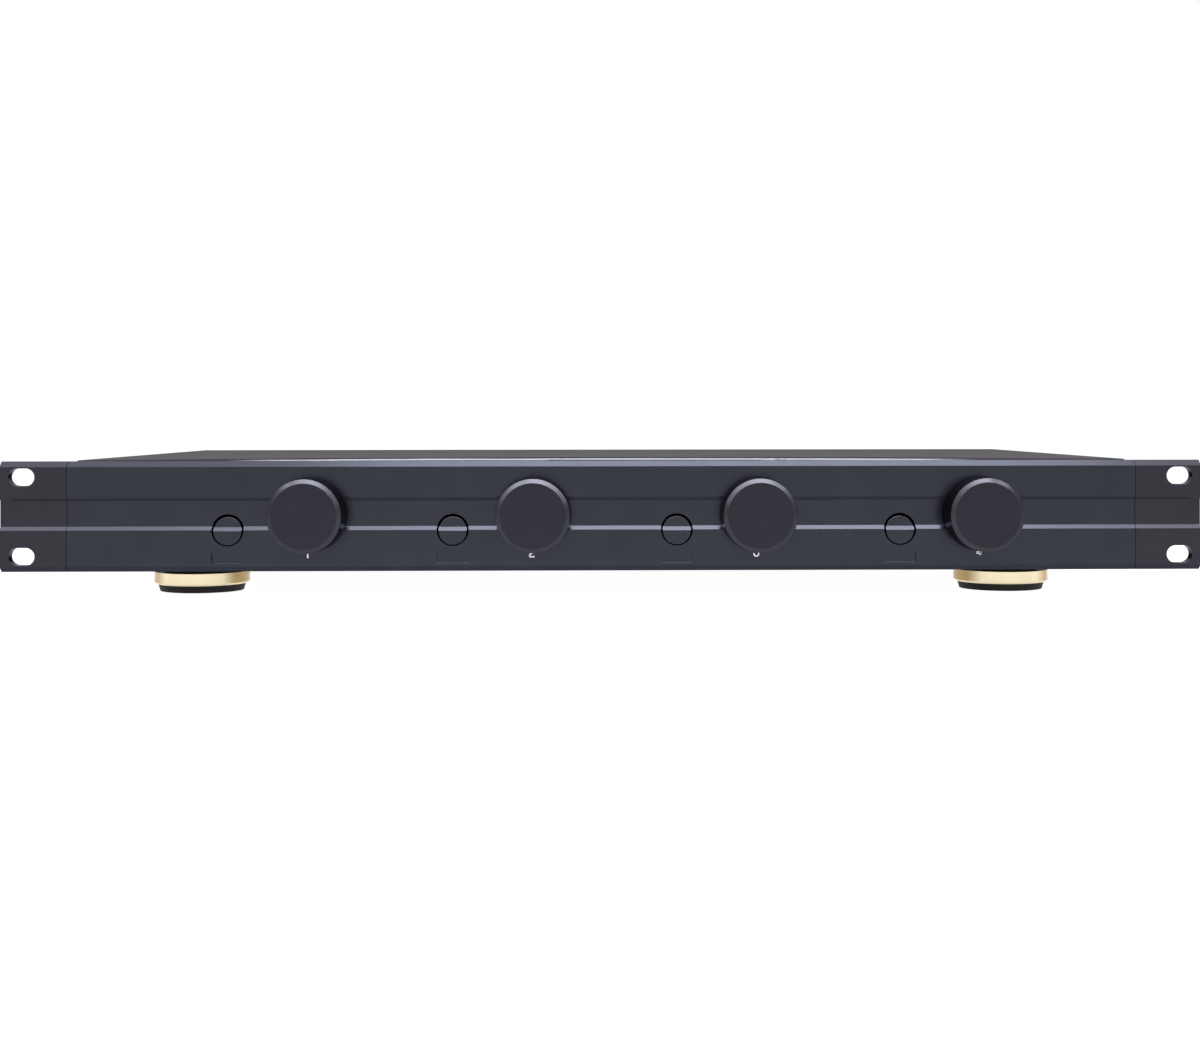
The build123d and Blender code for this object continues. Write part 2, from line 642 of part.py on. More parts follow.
def rear_panel():
    top = CASE_TOP - COVER_SHEET - COVER_FIT
    panel = block((-TRAY_HALF, TRAY_HALF), (REAR_INNER, REAR_OUTER), (TRAY_FLOOR, top))
    corners = [
        edge for edge in panel.edges()
        if abs(edge.center().X) > TRAY_HALF - SAME_PLACE and edge.center().Z > top - SAME_PLACE
    ]
    panel = fillet(corners, COVER_BEND_RADIUS - COVER_SHEET)
    foot = block(
        (-TRAY_HALF + TRAY_SHEET + COVER_FIT, TRAY_HALF - TRAY_SHEET - COVER_FIT),
        (REAR_INNER - REAR_FLANGE, REAR_INNER),
        (TRAY_FLOOR, TRAY_FLOOR + TRAY_SHEET),
    )
    panel += foot
    through = (REAR_INNER - CUT, REAR_OUTER + CUT)
    for x in header_places():
        panel -= block(
            around(x, HEADER_WIDTH + 2 * HEADER_ROOM),
            through,
            around(HEADER_Z, HEADER_HEIGHT + 2 * HEADER_ROOM),
        )
    panel -= block(
        around(PROTECTION_X, SLIDER_WIDTH + SLIDER_TRAVEL + 2 * SLIDER_ROOM),
        through,
        around(PROTECTION_Z, SLIDER_HEIGHT + 2 * SLIDER_ROOM),
    )
    for x, y in rear_screw_places():
        panel -= rod_z(SCREW_RADIUS + THREAD_FIT, x, y, (TRAY_FLOOR - CUT, TRAY_FLOOR + TRAY_SHEET + CUT))
    return panel


def case_screws():
    side_screw = small_screw(COVER_SHEET + COVER_FIT + TRAY_SHEET + SCREW_BITE)
    foot_screw = small_screw(2 * TRAY_SHEET + SCREW_BITE)
    screws = [
        Pos(side * COVER_HALF, y, z) * Rot(0, side * 90, 0) * side_screw
        for side in (-1, 1)
        for y, z in side_screw_places()
    ]
    screws += [Pos(x, y, CASE_BOTTOM) * Rot(180, 0, 0) * foot_screw for x, y in rear_screw_places()]
    return group(screws)


def inner_screws():
    """Screws inside the case: faceplate, transformer straps and boards."""
    face_screw = small_screw(TRAY_SHEET + SCREW_BITE - CLEARANCE_HOLE)
    screws = [Pos(x, WALL_BACK, z) * Rot(-90, 0, 0) * face_screw for x, z in face_screw_places()]
    strap_screw = small_screw(STRAP_SHEET + TRAY_SHEET)
    strap_top = TRAY_FLOOR + STRAP_SHEET
    screws += [Pos(x, y, strap_top) * strap_screw for x, y in strap_screw_places()]
    board_screw = small_screw(BOARD_SHEET + SCREW_BITE)
    screws += [Pos(x, y, SWITCH_BOARD_TOP) * board_screw for x, y in switch_board_screw_places()]
    screws += [Pos(x, y, TERMINAL_BOARD_TOP) * board_screw for x, y in terminal_board_screw_places()]
    return group(screws)


# ------------------------------------------------------------------ feet

def foot_ring(x, y):
    """Turned ring with a chamfer at its bottom edge and a lip inside its top."""
    bore = FOOT_CORE_RADIUS + FOOT_RING_FIT
    lip = FOOT_LIP_RADIUS + FOOT_RING_FIT
    ring = turned([
        (bore, FOOT_RING_BOTTOM),
        (FOOT_RING_RADIUS - FOOT_RING_CHAMFER, FOOT_RING_BOTTOM),
        (FOOT_RING_RADIUS, FOOT_RING_BOTTOM + FOOT_RING_CHAMFER_HEIGHT),
        (FOOT_RING_RADIUS, FOOT_RING_TOP),
        (lip, FOOT_RING_TOP),
        (lip, FOOT_RING_TOP - FOOT_RING_LIP),
        (bore, FOOT_RING_TOP - FOOT_RING_LIP),
    ])
    return Pos(x, y, 0) * ring


def foot_rubber(x, y):
    """Rubber foot: tread below the ring, core inside it, neck snapped over its lip."""
    rubber = turned([
        (FOOT_WELL_RADIUS, 0),
        (FOOT_TREAD_RADIUS, 0),
        (FOOT_TREAD_TOP_RADIUS, FOOT_RING_BOTTOM),
        (FOOT_CORE_RADIUS, FOOT_RING_BOTTOM),
        (FOOT_CORE_RADIUS, FOOT_RING_TOP - FOOT_RING_LIP),
        (FOOT_LIP_RADIUS, FOOT_RING_TOP - FOOT_RING_LIP),
        (FOOT_LIP_RADIUS, FOOT_RING_TOP),
        (FOOT_LIP_RADIUS + FOOT_NECK_SNAP, FOOT_RING_TOP),
        (FOOT_LIP_RADIUS + FOOT_NECK_SNAP, FOOT_HEIGHT),
        (FOOT_SCREW_RADIUS + THREAD_FIT, FOOT_HEIGHT),
        (FOOT_SCREW_RADIUS + THREAD_FIT, FOOT_WELL_DEPTH),
        (FOOT_WELL_RADIUS, FOOT_WELL_DEPTH),
    ])
    return Pos(x, y, 0) * rubber


def foot_screws():
    length = FOOT_HEIGHT - FOOT_WELL_DEPTH + TRAY_SHEET + FOOT_SCREW_BITE
    screw = pan_screw(FOOT_SCREW_RADIUS, length, FOOT_SCREW_HEAD_RADIUS, FOOT_SCREW_HEAD_HEIGHT)
    return group(Pos(x, y, FOOT_WELL_DEPTH) * Rot(180, 0, 0) * screw for x, y in FEET.values())


# ------------------------------------------------------------------ volume controls

def shaft_solid(radius, y, flat):
    """Round shaft along Y with a flat on its upper side over its front part."""
    rod = rod_y(radius, 0, y, 0)
    flat_end = FACE_Y - KNOB_GAP
    flat_cut = block((-radius, radius), (y[0] - CUT, flat_end), (flat, radius + CUT))
    return rod - flat_cut


def volume_shaft(x):
    front = FACE_Y - KNOB_REACH + KNOB_FACE_THICKNESS
    back = WALL_BACK + SHAFT_DEPTH_IN_SWITCH
    return Pos(x, 0, KNOB_Z) * shaft_solid(SHAFT_RADIUS, (front, back), SHAFT_FLAT)


def knob(x):
    """Hollow round knob with a bevelled rim and a hub with a D-shaped bore."""
    inner = KNOB_BASE_RADIUS - KNOB_WALL
    cup_depth = KNOB_LENGTH - KNOB_FACE_THICKNESS
    shell = turned([
        (0, KNOB_LENGTH),
        (0, 0),
        (KNOB_HUB_RADIUS, 0),
        (KNOB_HUB_RADIUS, cup_depth),
        (inner - KNOB_BASE_RADIUS + KNOB_RIM_RADIUS, cup_depth),
        (inner, 0),
        (KNOB_BASE_RADIUS, 0),
        (KNOB_RIM_RADIUS, KNOB_LENGTH - KNOB_BEVEL),
        (KNOB_FACE_RADIUS, KNOB_LENGTH),
    ])
    bevel_edges = [
        edge for edge in shell.edges().filter_by(GeomType.CIRCLE)
        if edge.center().Z > KNOB_LENGTH - KNOB_BEVEL - KNOB_EDGE_RADIUS
    ]
    shell = fillet(bevel_edges, KNOB_EDGE_RADIUS)
    body = about_y(shell, x, FACE_Y - KNOB_GAP, KNOB_Z)
    bore_y = (FACE_Y - KNOB_GAP - cup_depth, FACE_Y - KNOB_GAP + CUT)
    bore = rod_y(SHAFT_RADIUS + KNOB_FIT, 0, bore_y, 0)
    reach = SHAFT_RADIUS + CUT
    bore -= block((-reach, reach), (bore_y[0] - CUT, bore_y[1] + CUT), (SHAFT_FLAT + KNOB_FIT, reach))
    return body - Pos(x, 0, KNOB_Z) * bore


def volume_switch(x):
    """Rotary switch: threaded bushing, round can, wafer and tail."""
    can_back = WALL_BACK + VOLUME_CAN_LENGTH
    bushing = rod_y(BUSHING_RADIUS, x, (FACE_Y + BUSHING_SETBACK, WALL_BACK), KNOB_Z)
    can = rod_y(VOLUME_CAN_RADIUS, x, (WALL_BACK, can_back), KNOB_Z)
    wafer = rod_y(VOLUME_WAFER_RADIUS, x, (can_back, SWITCH_BACK), KNOB_Z)
    tail = rod_y(VOLUME_TAIL_RADIUS, x, (SWITCH_BACK, SWITCH_BACK + VOLUME_TAIL_LENGTH), KNOB_Z)
    bore_back = WALL_BACK + SHAFT_DEPTH_IN_SWITCH + SHAFT_END_PLAY
    bore = rod_y(SHAFT_RADIUS + SHAFT_FIT, x, (FACE_Y - CUT, bore_back), KNOB_Z)
    return bushing + can + wafer + tail - bore


def bushing_nuts():
    """Hexagon nut on each bushing, in front of the tray's wall and behind the knob."""
    prism = extrude(RegularPolygon(NUT_FLATS / 2, 6, major_radius=False), NUT_THICKNESS)
    ring = prism - rod_z(BUSHING_RADIUS + KNOB_FIT, 0, 0, (-CUT, NUT_THICKNESS + CUT))
    return group(about_y(ring, x, PANEL_BACK, KNOB_Z) for x in KNOB_X)


# ------------------------------------------------------------------ autotransformers

def core_window_heights():
    return TRAY_FLOOR + CORE_LEG, TRAY_FLOOR + CORE_HEIGHT - CORE_LEG


def autotransformer_core(x):
    """Laminated core standing on the tray, with a window each side of its centre leg."""
    y = around(FACE_Y + TRANSFORMER_FROM_FACE, CORE_STACK)
    core = block(around(x, CORE_WIDTH), y, (TRAY_FLOOR, TRAY_FLOOR + CORE_HEIGHT))
    through = (y[0] - CUT, y[1] + CUT)
    for side in (-1, 1):
        window = sorted((x + side * CORE_LEG, x + side * (CORE_WIDTH / 2 - CORE_LEG)))
        core -= block(window, through, core_window_heights())
    return core


def autotransformer_coil(x):
    """Coil round the centre leg, standing on the lower yoke."""
    y = FACE_Y + TRANSFORMER_FROM_FACE
    bottom, window_top = core_window_heights()
    height = window_top - bottom - COIL_FIT
    width = CORE_WIDTH - 2 * CORE_LEG - 2 * COIL_FIT
    depth = CORE_STACK + 2 * COIL_OVERHANG
    wound = extrude(RectangleRounded(width, depth, COIL_CORNER), height)
    leg = Pos(0, 0, height / 2) * Box(
        2 * (CORE_LEG + COIL_FIT), CORE_STACK + 2 * COIL_FIT, height + 2 * CUT
    )
    return Pos(x, y, bottom) * (wound - leg)


def transformer_straps():
    """Folded strap over each core, with a foot each side on the tray."""
    y = around(FACE_Y + TRANSFORMER_FROM_FACE, STRAP_WIDTH)
    outer = CORE_WIDTH / 2 + STRAP_SHEET
    top = TRAY_FLOOR + CORE_HEIGHT
    foot_top = TRAY_FLOOR + STRAP_SHEET
    straps = []
    for x in KNOB_X:
        strap = block((x - outer, x + outer), y, (TRAY_FLOOR, top + STRAP_SHEET))
        strap += block((x - outer - STRAP_FOOT, x + outer + STRAP_FOOT), y, (TRAY_FLOOR, foot_top))
        strap -= block(around(x, CORE_WIDTH), (y[0] - CUT, y[1] + CUT), (TRAY_FLOOR - CUT, top))
        for side in (-1, 1):
            place = x + side * (outer + STRAP_FOOT / 2)
            hole = (TRAY_FLOOR - CUT, foot_top + CUT)
            strap -= rod_z(SCREW_RADIUS + CLEARANCE_HOLE, place, sum(y) / 2, hole)
        straps.append(strap)
    return group(straps)


# ------------------------------------------------------------------ push buttons

def button(x):
    """Round cap whose face carries on the panel's groove, with a square stem."""
    def cap(face):
        """Cylinder with a rounded front edge, from a face to the cap's back."""
        length = FACE_Y + BUTTON_LENGTH - face
        disc = rod_z(BUTTON_RADIUS, 0, 0, (0, length))
        front_edge = [edge for edge in disc.edges() if edge.center().Z > length - SAME_PLACE]
        disc = fillet(front_edge, BUTTON_EDGE_RADIUS)
        return about_y(disc, x, FACE_Y + BUTTON_LENGTH, BUTTON_Z)

    middle = PANEL_MIDDLE - BUTTON_SAG
    edge = middle - GROOVE_BELOW_MIDDLE
    low = BUTTON_Z - BUTTON_RADIUS - CUT
    rise = CUT * GROOVE_BEVEL_HEIGHT / GROOVE_DEPTH
    side = x - BUTTON_RADIUS - CUT
    below_groove = make_face(Polyline(
        (side, FACE_Y - CUT, low),
        (side, FACE_Y - CUT, edge - rise),
        (side, FACE_Y + GROOVE_DEPTH, edge + GROOVE_BEVEL_HEIGHT),
        (side, PANEL_BACK, edge + GROOVE_BEVEL_HEIGHT),
        (side, PANEL_BACK, low),
        close=True,
    ))
    proud = cap(FACE_Y) & extrude(below_groove, 2 * (BUTTON_RADIUS + CUT), dir=(1, 0, 0))
    body = cap(FACE_Y + GROOVE_DEPTH) + proud
    stem_y = (FACE_Y + BUTTON_LENGTH, FACE_Y + PUSH_SWITCH_FROM_FACE + STEM_REACH)
    return body + block(around(x, STEM_SIDE), stem_y, around(BUTTON_Z, STEM_SIDE))


def push_switch(x):
    """Switch body on the board, with a square well that the stem of the button slides in."""
    front = FACE_Y + PUSH_SWITCH_FROM_FACE
    side = around(x, PUSH_SWITCH_SIDE)
    body = block(side, (front, front + PUSH_SWITCH_LENGTH), around(BUTTON_Z, PUSH_SWITCH_SIDE))
    room = STEM_SIDE + 2 * STEM_ROOM
    well_back = front + STEM_REACH + BUTTON_TRAVEL + STEM_ROOM
    return body - block(around(x, room), (front - CUT, well_back), around(BUTTON_Z, room))


# ------------------------------------------------------------------ boards and terminals

def switch_board():
    """Long board under the push switches, notched round the volume controls."""
    back = SWITCH_BOARD_FRONT + SWITCH_BOARD_WIDTH
    level = (SWITCH_BOARD_TOP - BOARD_SHEET, SWITCH_BOARD_TOP)
    board = block(SWITCH_BOARD_X, (SWITCH_BOARD_FRONT, back), level)
    cut_z = (level[0] - CUT, level[1] + CUT)
    room = 2 * (VOLUME_WAFER_RADIUS + SWITCH_BOARD_NOTCH_ROOM)
    notch_back = SWITCH_BACK + VOLUME_TAIL_LENGTH + SWITCH_BOARD_NOTCH_ROOM
    for x in KNOB_X:
        board -= block(around(x, room), (SWITCH_BOARD_FRONT - CUT, notch_back), cut_z)
    for x, y in switch_board_screw_places():
        board -= rod_z(SCREW_RADIUS + CLEARANCE_HOLE, x, y, cut_z)
    return board


def terminal_board():
    level = (TERMINAL_BOARD_TOP - BOARD_SHEET, TERMINAL_BOARD_TOP)
    y = (TERMINAL_BOARD_BACK - TERMINAL_BOARD_WIDTH, TERMINAL_BOARD_BACK)
    board = block(TERMINAL_BOARD_X, y, level)
    for x, place in terminal_board_screw_places():
        board -= rod_z(SCREW_RADIUS + CLEARANCE_HOLE, x, place, (level[0] - CUT, level[1] + CUT))
    return board


def standoff(x, y, top):
    """Round post from the tray to a board, with a spigot in the tray and a tapped hole."""
    post = rod_z(STANDOFF_RADIUS, x, y, (TRAY_FLOOR, top))
    post += rod_z(STANDOFF_SPIGOT_RADIUS, x, y, (CASE_BOTTOM, TRAY_FLOOR))
    return post - rod_z(SCREW_RADIUS + THREAD_FIT, x, y, (top - SCREW_BITE - CLEARANCE_HOLE, top + CUT))


def board_standoffs():
    low = SWITCH_BOARD_TOP - BOARD_SHEET
    posts = [standoff(x, y, low) for x, y in switch_board_screw_places()]
    low = TERMINAL_BOARD_TOP - BOARD_SHEET
    posts += [standoff(x, y, low) for x, y in terminal_board_screw_places()]
    return group(posts)


def pole_places(x):
    """Places across a terminal of its poles."""
    reach = POLE_PITCH * (POLE_COUNT - 1) / 2
    return spread(x - reach, x + reach, POLE_COUNT)


def header_floor():
    """Depth of the floor that the pins of a header stand on."""
    return REAR_OUTER - HEADER_LENGTH + 2 * HEADER_WALL


def header_pins():
    """Square contact pins through the floors of the headers, bent down to the board."""
    tail = REAR_OUTER - HEADER_LENGTH - PIN_TAIL
    pins = []
    for x in header_places():
        for pole in pole_places(x):
            across = around(pole, PIN_SIDE)
            contact = block(across, (tail, header_floor() + PIN_LENGTH), around(HEADER_Z, PIN_SIDE))
            leg = block(across, (tail, tail + PIN_SIDE), (TERMINAL_BOARD_TOP, HEADER_Z))
            pins.append(contact + leg)
    return group(pins)


def terminal_headers():
    """Shrouded pin headers on the board, their mouths level with the rear panel."""
    headers = []
    for x in header_places():
        header = block(
            around(x, HEADER_WIDTH),
            (REAR_OUTER - HEADER_LENGTH, REAR_OUTER),
            around(HEADER_Z, HEADER_HEIGHT),
        )
        header -= block(
            around(x, HEADER_WIDTH - 2 * HEADER_WALL),
            (header_floor(), REAR_OUTER + CUT),
            around(HEADER_Z, HEADER_HEIGHT - 2 * HEADER_WALL),
        )
        hole_y = (REAR_OUTER - HEADER_LENGTH - CUT, header_floor() + CUT)
        hole = PIN_SIDE + 2 * PIN_FIT
        for pole in pole_places(x):
            header -= block(around(pole, hole), hole_y, around(HEADER_Z, hole))
        headers.append(header)
    return group(headers)


def terminal_plug(x):
    """Plug with a nose in the header, wire entries behind and clamp-screw wells on top."""
    nose_width = HEADER_WIDTH - 2 * (HEADER_WALL + PLUG_ROOM)
    nose_height = HEADER_HEIGHT - 2 * (HEADER_WALL + PLUG_ROOM)
    back = CASE_BACK + PLUG_REACH
    nose_front = REAR_OUTER - PLUG_INSERTION
    mouth = REAR_OUTER + PLUG_ROOM
    nose = block(around(x, nose_width), (nose_front, mouth), around(HEADER_Z, nose_height))
    bottom = HEADER_Z - nose_height / 2 - PLUG_SHOULDER
    top = HEADER_Z + nose_height / 2 + PLUG_CREST
    body = block(around(x, nose_width + 2 * PLUG_SHOULDER), (mouth, back), (bottom, top))
    plug = nose + body
    socket_back = header_floor() + PIN_LENGTH + PLUG_ROOM
    socket = PIN_SIDE + 2 * PLUG_ROOM
    well_y = (mouth + back) / 2
    for pole in pole_places(x):
        plug -= block(around(pole, socket), (nose_front - CUT, socket_back), around(HEADER_Z, socket))
        entry = around(HEADER_Z, WIRE_ENTRY)
        plug -= block(around(pole, WIRE_ENTRY), (back - WIRE_ENTRY_DEPTH, back + CUT), entry)
        plug -= rod_z(CLAMP_WELL_RADIUS, pole, well_y, (top - CLAMP_WELL_DEPTH, top + CUT))
    return plug


def protection_switch():
    """Slide-switch body behind the rear panel, with an undercut slot for its slider."""
    front = REAR_INNER - PROTECTION_LENGTH
    body = block(
        around(PROTECTION_X, PROTECTION_WIDTH),
        (front, REAR_INNER),
        around(PROTECTION_Z, PROTECTION_HEIGHT),
    )
    travel = SLIDER_TRAVEL + 2 * SLIDER_ROOM
    wide_back = REAR_INNER - PROTECTION_WALL
    wide_front = wide_back - SLIDER_BASE_LENGTH - 2 * SLIDER_ROOM
    body -= block(
        around(PROTECTION_X, SLIDER_BASE_WIDTH + travel),
        (wide_front, wide_back),
        around(PROTECTION_Z, SLIDER_BASE_HEIGHT + 2 * SLIDER_ROOM),
    )
    body -= block(
        around(PROTECTION_X, SLIDER_WIDTH + travel),
        (wide_back - CUT, REAR_INNER + CUT),
        around(PROTECTION_Z, SLIDER_HEIGHT + 2 * SLIDER_ROOM),
    )
    return body


def protection_slider():
    """Slider at its left-hand end, seen from the front: a base in the slot and a handle."""
    x = PROTECTION_X - SLIDER_TRAVEL / 2
    base_back = REAR_INNER - PROTECTION_WALL - SLIDER_ROOM
    base = block(
        around(x, SLIDER_BASE_WIDTH),
        (base_back - SLIDER_BASE_LENGTH, base_back),
        around(PROTECTION_Z, SLIDER_BASE_HEIGHT),
    )
    handle = block(
        around(x, SLIDER_WIDTH),
        (base_back, REAR_OUTER + SLIDER_REACH),
        around(PROTECTION_Z, SLIDER_HEIGHT),
    )
    return base + handle


# ------------------------------------------------------------------ every node of the unit

NODES = {
    "faceplate": faceplate(),
    "rack_ear_left": rack_ear(-1),
    "rack_ear_right": rack_ear(1),
    "ear_screws": ear_screws(),
    "base_tray": base_tray(),
    "top_cover": top_cover(),
    "rear_panel": rear_panel(),
    "case_screws": case_screws(),
    "inner_screws": inner_screws(),
    "foot_screws": foot_screws(),
    "bushing_nuts": bushing_nuts(),
    "transformer_straps": transformer_straps(),
    "switch_board": switch_board(),
    "terminal_board": terminal_board(),
    "board_standoffs": board_standoffs(),
    "terminal_headers": terminal_headers(),
    "header_pins": header_pins(),
    "terminal_plug_input": terminal_plug(INPUT_TERMINAL_X),
    "protection_switch": protection_switch(),
    "protection_slider": protection_slider(),
}
for corner_name, place in FEET.items():
    NODES[f"foot_ring_{corner_name}"] = foot_ring(*place)
    NODES[f"foot_rubber_{corner_name}"] = foot_rubber(*place)
for zone in ZONES:
    number = zone + 1
    NODES[f"knob_{number}"] = knob(KNOB_X[zone])
    NODES[f"volume_shaft_{number}"] = volume_shaft(KNOB_X[zone])
    NODES[f"volume_switch_{number}"] = volume_switch(KNOB_X[zone])
    NODES[f"autotransformer_core_{number}"] = autotransformer_core(KNOB_X[zone])
    NODES[f"autotransformer_coil_{number}"] = autotransformer_coil(KNOB_X[zone])
    NODES[f"button_{number}"] = button(BUTTON_X[zone])
    NODES[f"push_switch_{number}"] = push_switch(BUTTON_X[zone])
    NODES[f"terminal_plug_zone_{number}"] = terminal_plug(ZONE_TERMINAL_X[zone])

os.makedirs("parts", exist_ok=True)
for name, shape in NODES.items():
    export_step(shape, f"parts/{name}.step")
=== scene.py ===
"""Finishes, printed marks, plug hardware, light and camera for a four-zone rack speaker selector.

Everything is in metres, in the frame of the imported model: X to the right, Y from the front panel
to the back, Z up from the surface that the feet stand on.
"""

import json
import math

import bpy
from mathutils import Matrix, Vector


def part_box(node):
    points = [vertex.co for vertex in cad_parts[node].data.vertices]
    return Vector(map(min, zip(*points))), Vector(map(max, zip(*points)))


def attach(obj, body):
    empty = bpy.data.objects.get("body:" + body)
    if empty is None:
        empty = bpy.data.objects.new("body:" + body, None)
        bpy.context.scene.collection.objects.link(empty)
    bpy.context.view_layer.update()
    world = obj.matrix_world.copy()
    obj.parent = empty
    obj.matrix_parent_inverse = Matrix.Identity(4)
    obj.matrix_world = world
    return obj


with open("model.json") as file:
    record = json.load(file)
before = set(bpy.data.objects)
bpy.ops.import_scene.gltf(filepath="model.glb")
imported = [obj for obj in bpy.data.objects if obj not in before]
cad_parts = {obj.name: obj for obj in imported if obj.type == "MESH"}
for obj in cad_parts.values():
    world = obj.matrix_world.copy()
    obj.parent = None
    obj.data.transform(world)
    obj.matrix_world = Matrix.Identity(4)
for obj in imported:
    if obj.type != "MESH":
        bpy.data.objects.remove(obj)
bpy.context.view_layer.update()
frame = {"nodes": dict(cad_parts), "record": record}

MM = 0.001
ZONES = range(1, 5)
NODES = frame["nodes"]

# ------------------------------------------------------------------ camera

PICTURE_WIDTH = 1200
FOCAL_PIXELS = 1841.5
SENSOR_WIDTH = 36.0
CAMERA_PLACE = (-5.25 * MM, -862.6 * MM, 74.6 * MM)
CAMERA_ROLL = 0.00112
CAMERA_YAW = -0.01823
CAMERA_SHIFT = (-0.0201, -0.0881)
CAMERA_CLIP = (0.05, 50.0)


def make_camera():
    """Level camera straight in front of the panel, a little above its top edge."""
    data = bpy.data.cameras.new("camera")
    data.sensor_width = SENSOR_WIDTH
    data.lens = FOCAL_PIXELS * SENSOR_WIDTH / PICTURE_WIDTH
    data.shift_x, data.shift_y = CAMERA_SHIFT
    data.clip_start, data.clip_end = CAMERA_CLIP
    camera = bpy.data.objects.new("camera", data)
    camera.location = CAMERA_PLACE
    camera.rotation_euler = (math.pi / 2, CAMERA_ROLL, CAMERA_YAW)
    bpy.context.scene.collection.objects.link(camera)
    bpy.context.scene.camera = camera


make_camera()

# ------------------------------------------------------------------ shader nodes

# Sockets of the colour mixing node, which carry the same names for every kind of value
MIX_SHARE, MIX_FIRST, MIX_SECOND, MIXED = 0, 6, 7, 2


def add_node(tree, kind, inputs=None, **settings):
    """Adds a node with its settings and inputs; an input is a value, or a socket to link."""
    made = tree.nodes.new(kind)
    for name, value in settings.items():
        setattr(made, name, value)
    for name, value in (inputs or {}).items():
        if isinstance(value, bpy.types.NodeSocket):
            tree.links.new(value, made.inputs[name])
        else:
            made.inputs[name].default_value = value
    return made


def add_math(tree, operation, first, second=0.0, clamp=False):
    """One scalar step, clamped to 0..1 if asked."""
    inputs = {0: first, 1: second}
    made = add_node(tree, "ShaderNodeMath", inputs, operation=operation, use_clamp=clamp)
    return made.outputs[0]


def add_mix(tree, share, first, second):
    """Colour that goes from the first to the second as the share rises."""
    inputs = {MIX_SHARE: share, MIX_FIRST: first, MIX_SECOND: second}
    return add_node(tree, "ShaderNodeMix", inputs, data_type="RGBA").outputs[MIXED]


def add_dot(tree, first, second):
    """Dot product of two vectors."""
    inputs = {0: first, 1: second}
    made = add_node(tree, "ShaderNodeVectorMath", inputs, operation="DOT_PRODUCT")
    return made.outputs["Value"]


def add_range(tree, value, start, end, low, high):
    """Value taken from start..end to low..high, and held there."""
    inputs = {"Value": value, "From Min": start, "From Max": end, "To Min": low, "To Max": high}
    return add_node(tree, "ShaderNodeMapRange", inputs).outputs[0]


def add_noise(tree, place, scale, detail):
    """Cloudy noise about a half, finer as the scale rises."""
    inputs = {"Vector": place, "Scale": scale, "Detail": detail}
    return add_node(tree, "ShaderNodeTexNoise", inputs).outputs[0]


def add_place(tree):
    """Place on the object, in its own coordinates."""
    return add_node(tree, "ShaderNodeTexCoord").outputs["Object"]


def add_normal(tree):
    """Direction that the surface faces."""
    return add_node(tree, "ShaderNodeNewGeometry").outputs["Normal"]


def new_group(name, inputs, outputs):
    """Empty node group with named inputs (with defaults) and outputs."""
    kinds = {float: "NodeSocketFloat", tuple: "NodeSocketVector", list: "NodeSocketColor"}
    tree = bpy.data.node_groups.new(name, "ShaderNodeTree")
    for label, value in inputs.items():
        socket = tree.interface.new_socket(label, in_out="INPUT", socket_type=kinds[type(value)])
        socket.default_value = value
    for label, kind in outputs.items():
        tree.interface.new_socket(label, in_out="OUTPUT", socket_type=kinds[kind])
    given = tree.nodes.new("NodeGroupInput").outputs
    wanted = tree.nodes.new("NodeGroupOutput").inputs
    return tree, given, wanted


def place_group(tree, group, **inputs):
    """Places a node group in a tree; words in its input names are joined by underscores here."""
    spaced = {name.replace("_", " "): value for name, value in inputs.items()}
    return add_node(tree, "ShaderNodeGroup", spaced, node_tree=group).outputs


# Broad mottling is this much coarser than the grain
BROAD_SHARE = 0.03
FINE_DETAIL = 3.0
BROAD_DETAIL = 2.0
# Wear starts at the first likeness of true and rounded normals and is full at the second
WEAR_BEND = (0.99, 0.80)
WEAR_SAMPLES = 6
PATCH_DETAIL = 4.0
PATCH_SPREAD = (0.35, 0.65)
PATCH_LEAST = 0.25
WAVER_SCALE = 400.0
WAVER_DETAIL = 2.0
JOINT_REACH = 0.25
GRAIN_ON_LAYERS = 0.3


def build_grain():
    """Fine and broad mottling of a surface, each about a half on average."""
    tree, given, wanted = new_group(
        "grain",
        {"Size": 0.4 * MM, "Stretch": (1.0, 1.0, 1.0)},
        {"Fine": float, "Broad": float},
    )
    sides = {0: add_place(tree), 1: given["Stretch"]}
    stretched = add_node(tree, "ShaderNodeVectorMath", sides, operation="MULTIPLY").outputs[0]
    per_metre = add_math(tree, "DIVIDE", 1.0, given["Size"])
    broad_scale = add_math(tree, "MULTIPLY", per_metre, BROAD_SHARE)
    fine = add_noise(tree, stretched, per_metre, FINE_DETAIL)
    broad = add_noise(tree, stretched, broad_scale, BROAD_DETAIL)
    tree.links.new(fine, wanted["Fine"])
    tree.links.new(broad, wanted["Broad"])
    return tree


def build_edge_wear():
    """Patchy mask that is one on sharp edges and zero a radius away from them."""
    tree, given, wanted = new_group(
        "edge wear", {"Radius": 0.3 * MM, "Patch Size": 3 * MM}, {"Mask": float}
    )
    radius = {"Radius": given["Radius"]}
    rounded = add_node(tree, "ShaderNodeBevel", radius, samples=WEAR_SAMPLES).outputs["Normal"]
    likeness = add_dot(tree, rounded, add_normal(tree))
    bend = add_range(tree, likeness, *WEAR_BEND, 0.0, 1.0)
    patch_scale = add_math(tree, "DIVIDE", 1.0, given["Patch Size"])
    patches = add_noise(tree, add_place(tree), patch_scale, PATCH_DETAIL)
    patchy = add_range(tree, patches, *PATCH_SPREAD, PATCH_LEAST, 1.0)
    tree.links.new(add_math(tree, "MULTIPLY", bend, patchy, clamp=True), wanted["Mask"])
    return tree


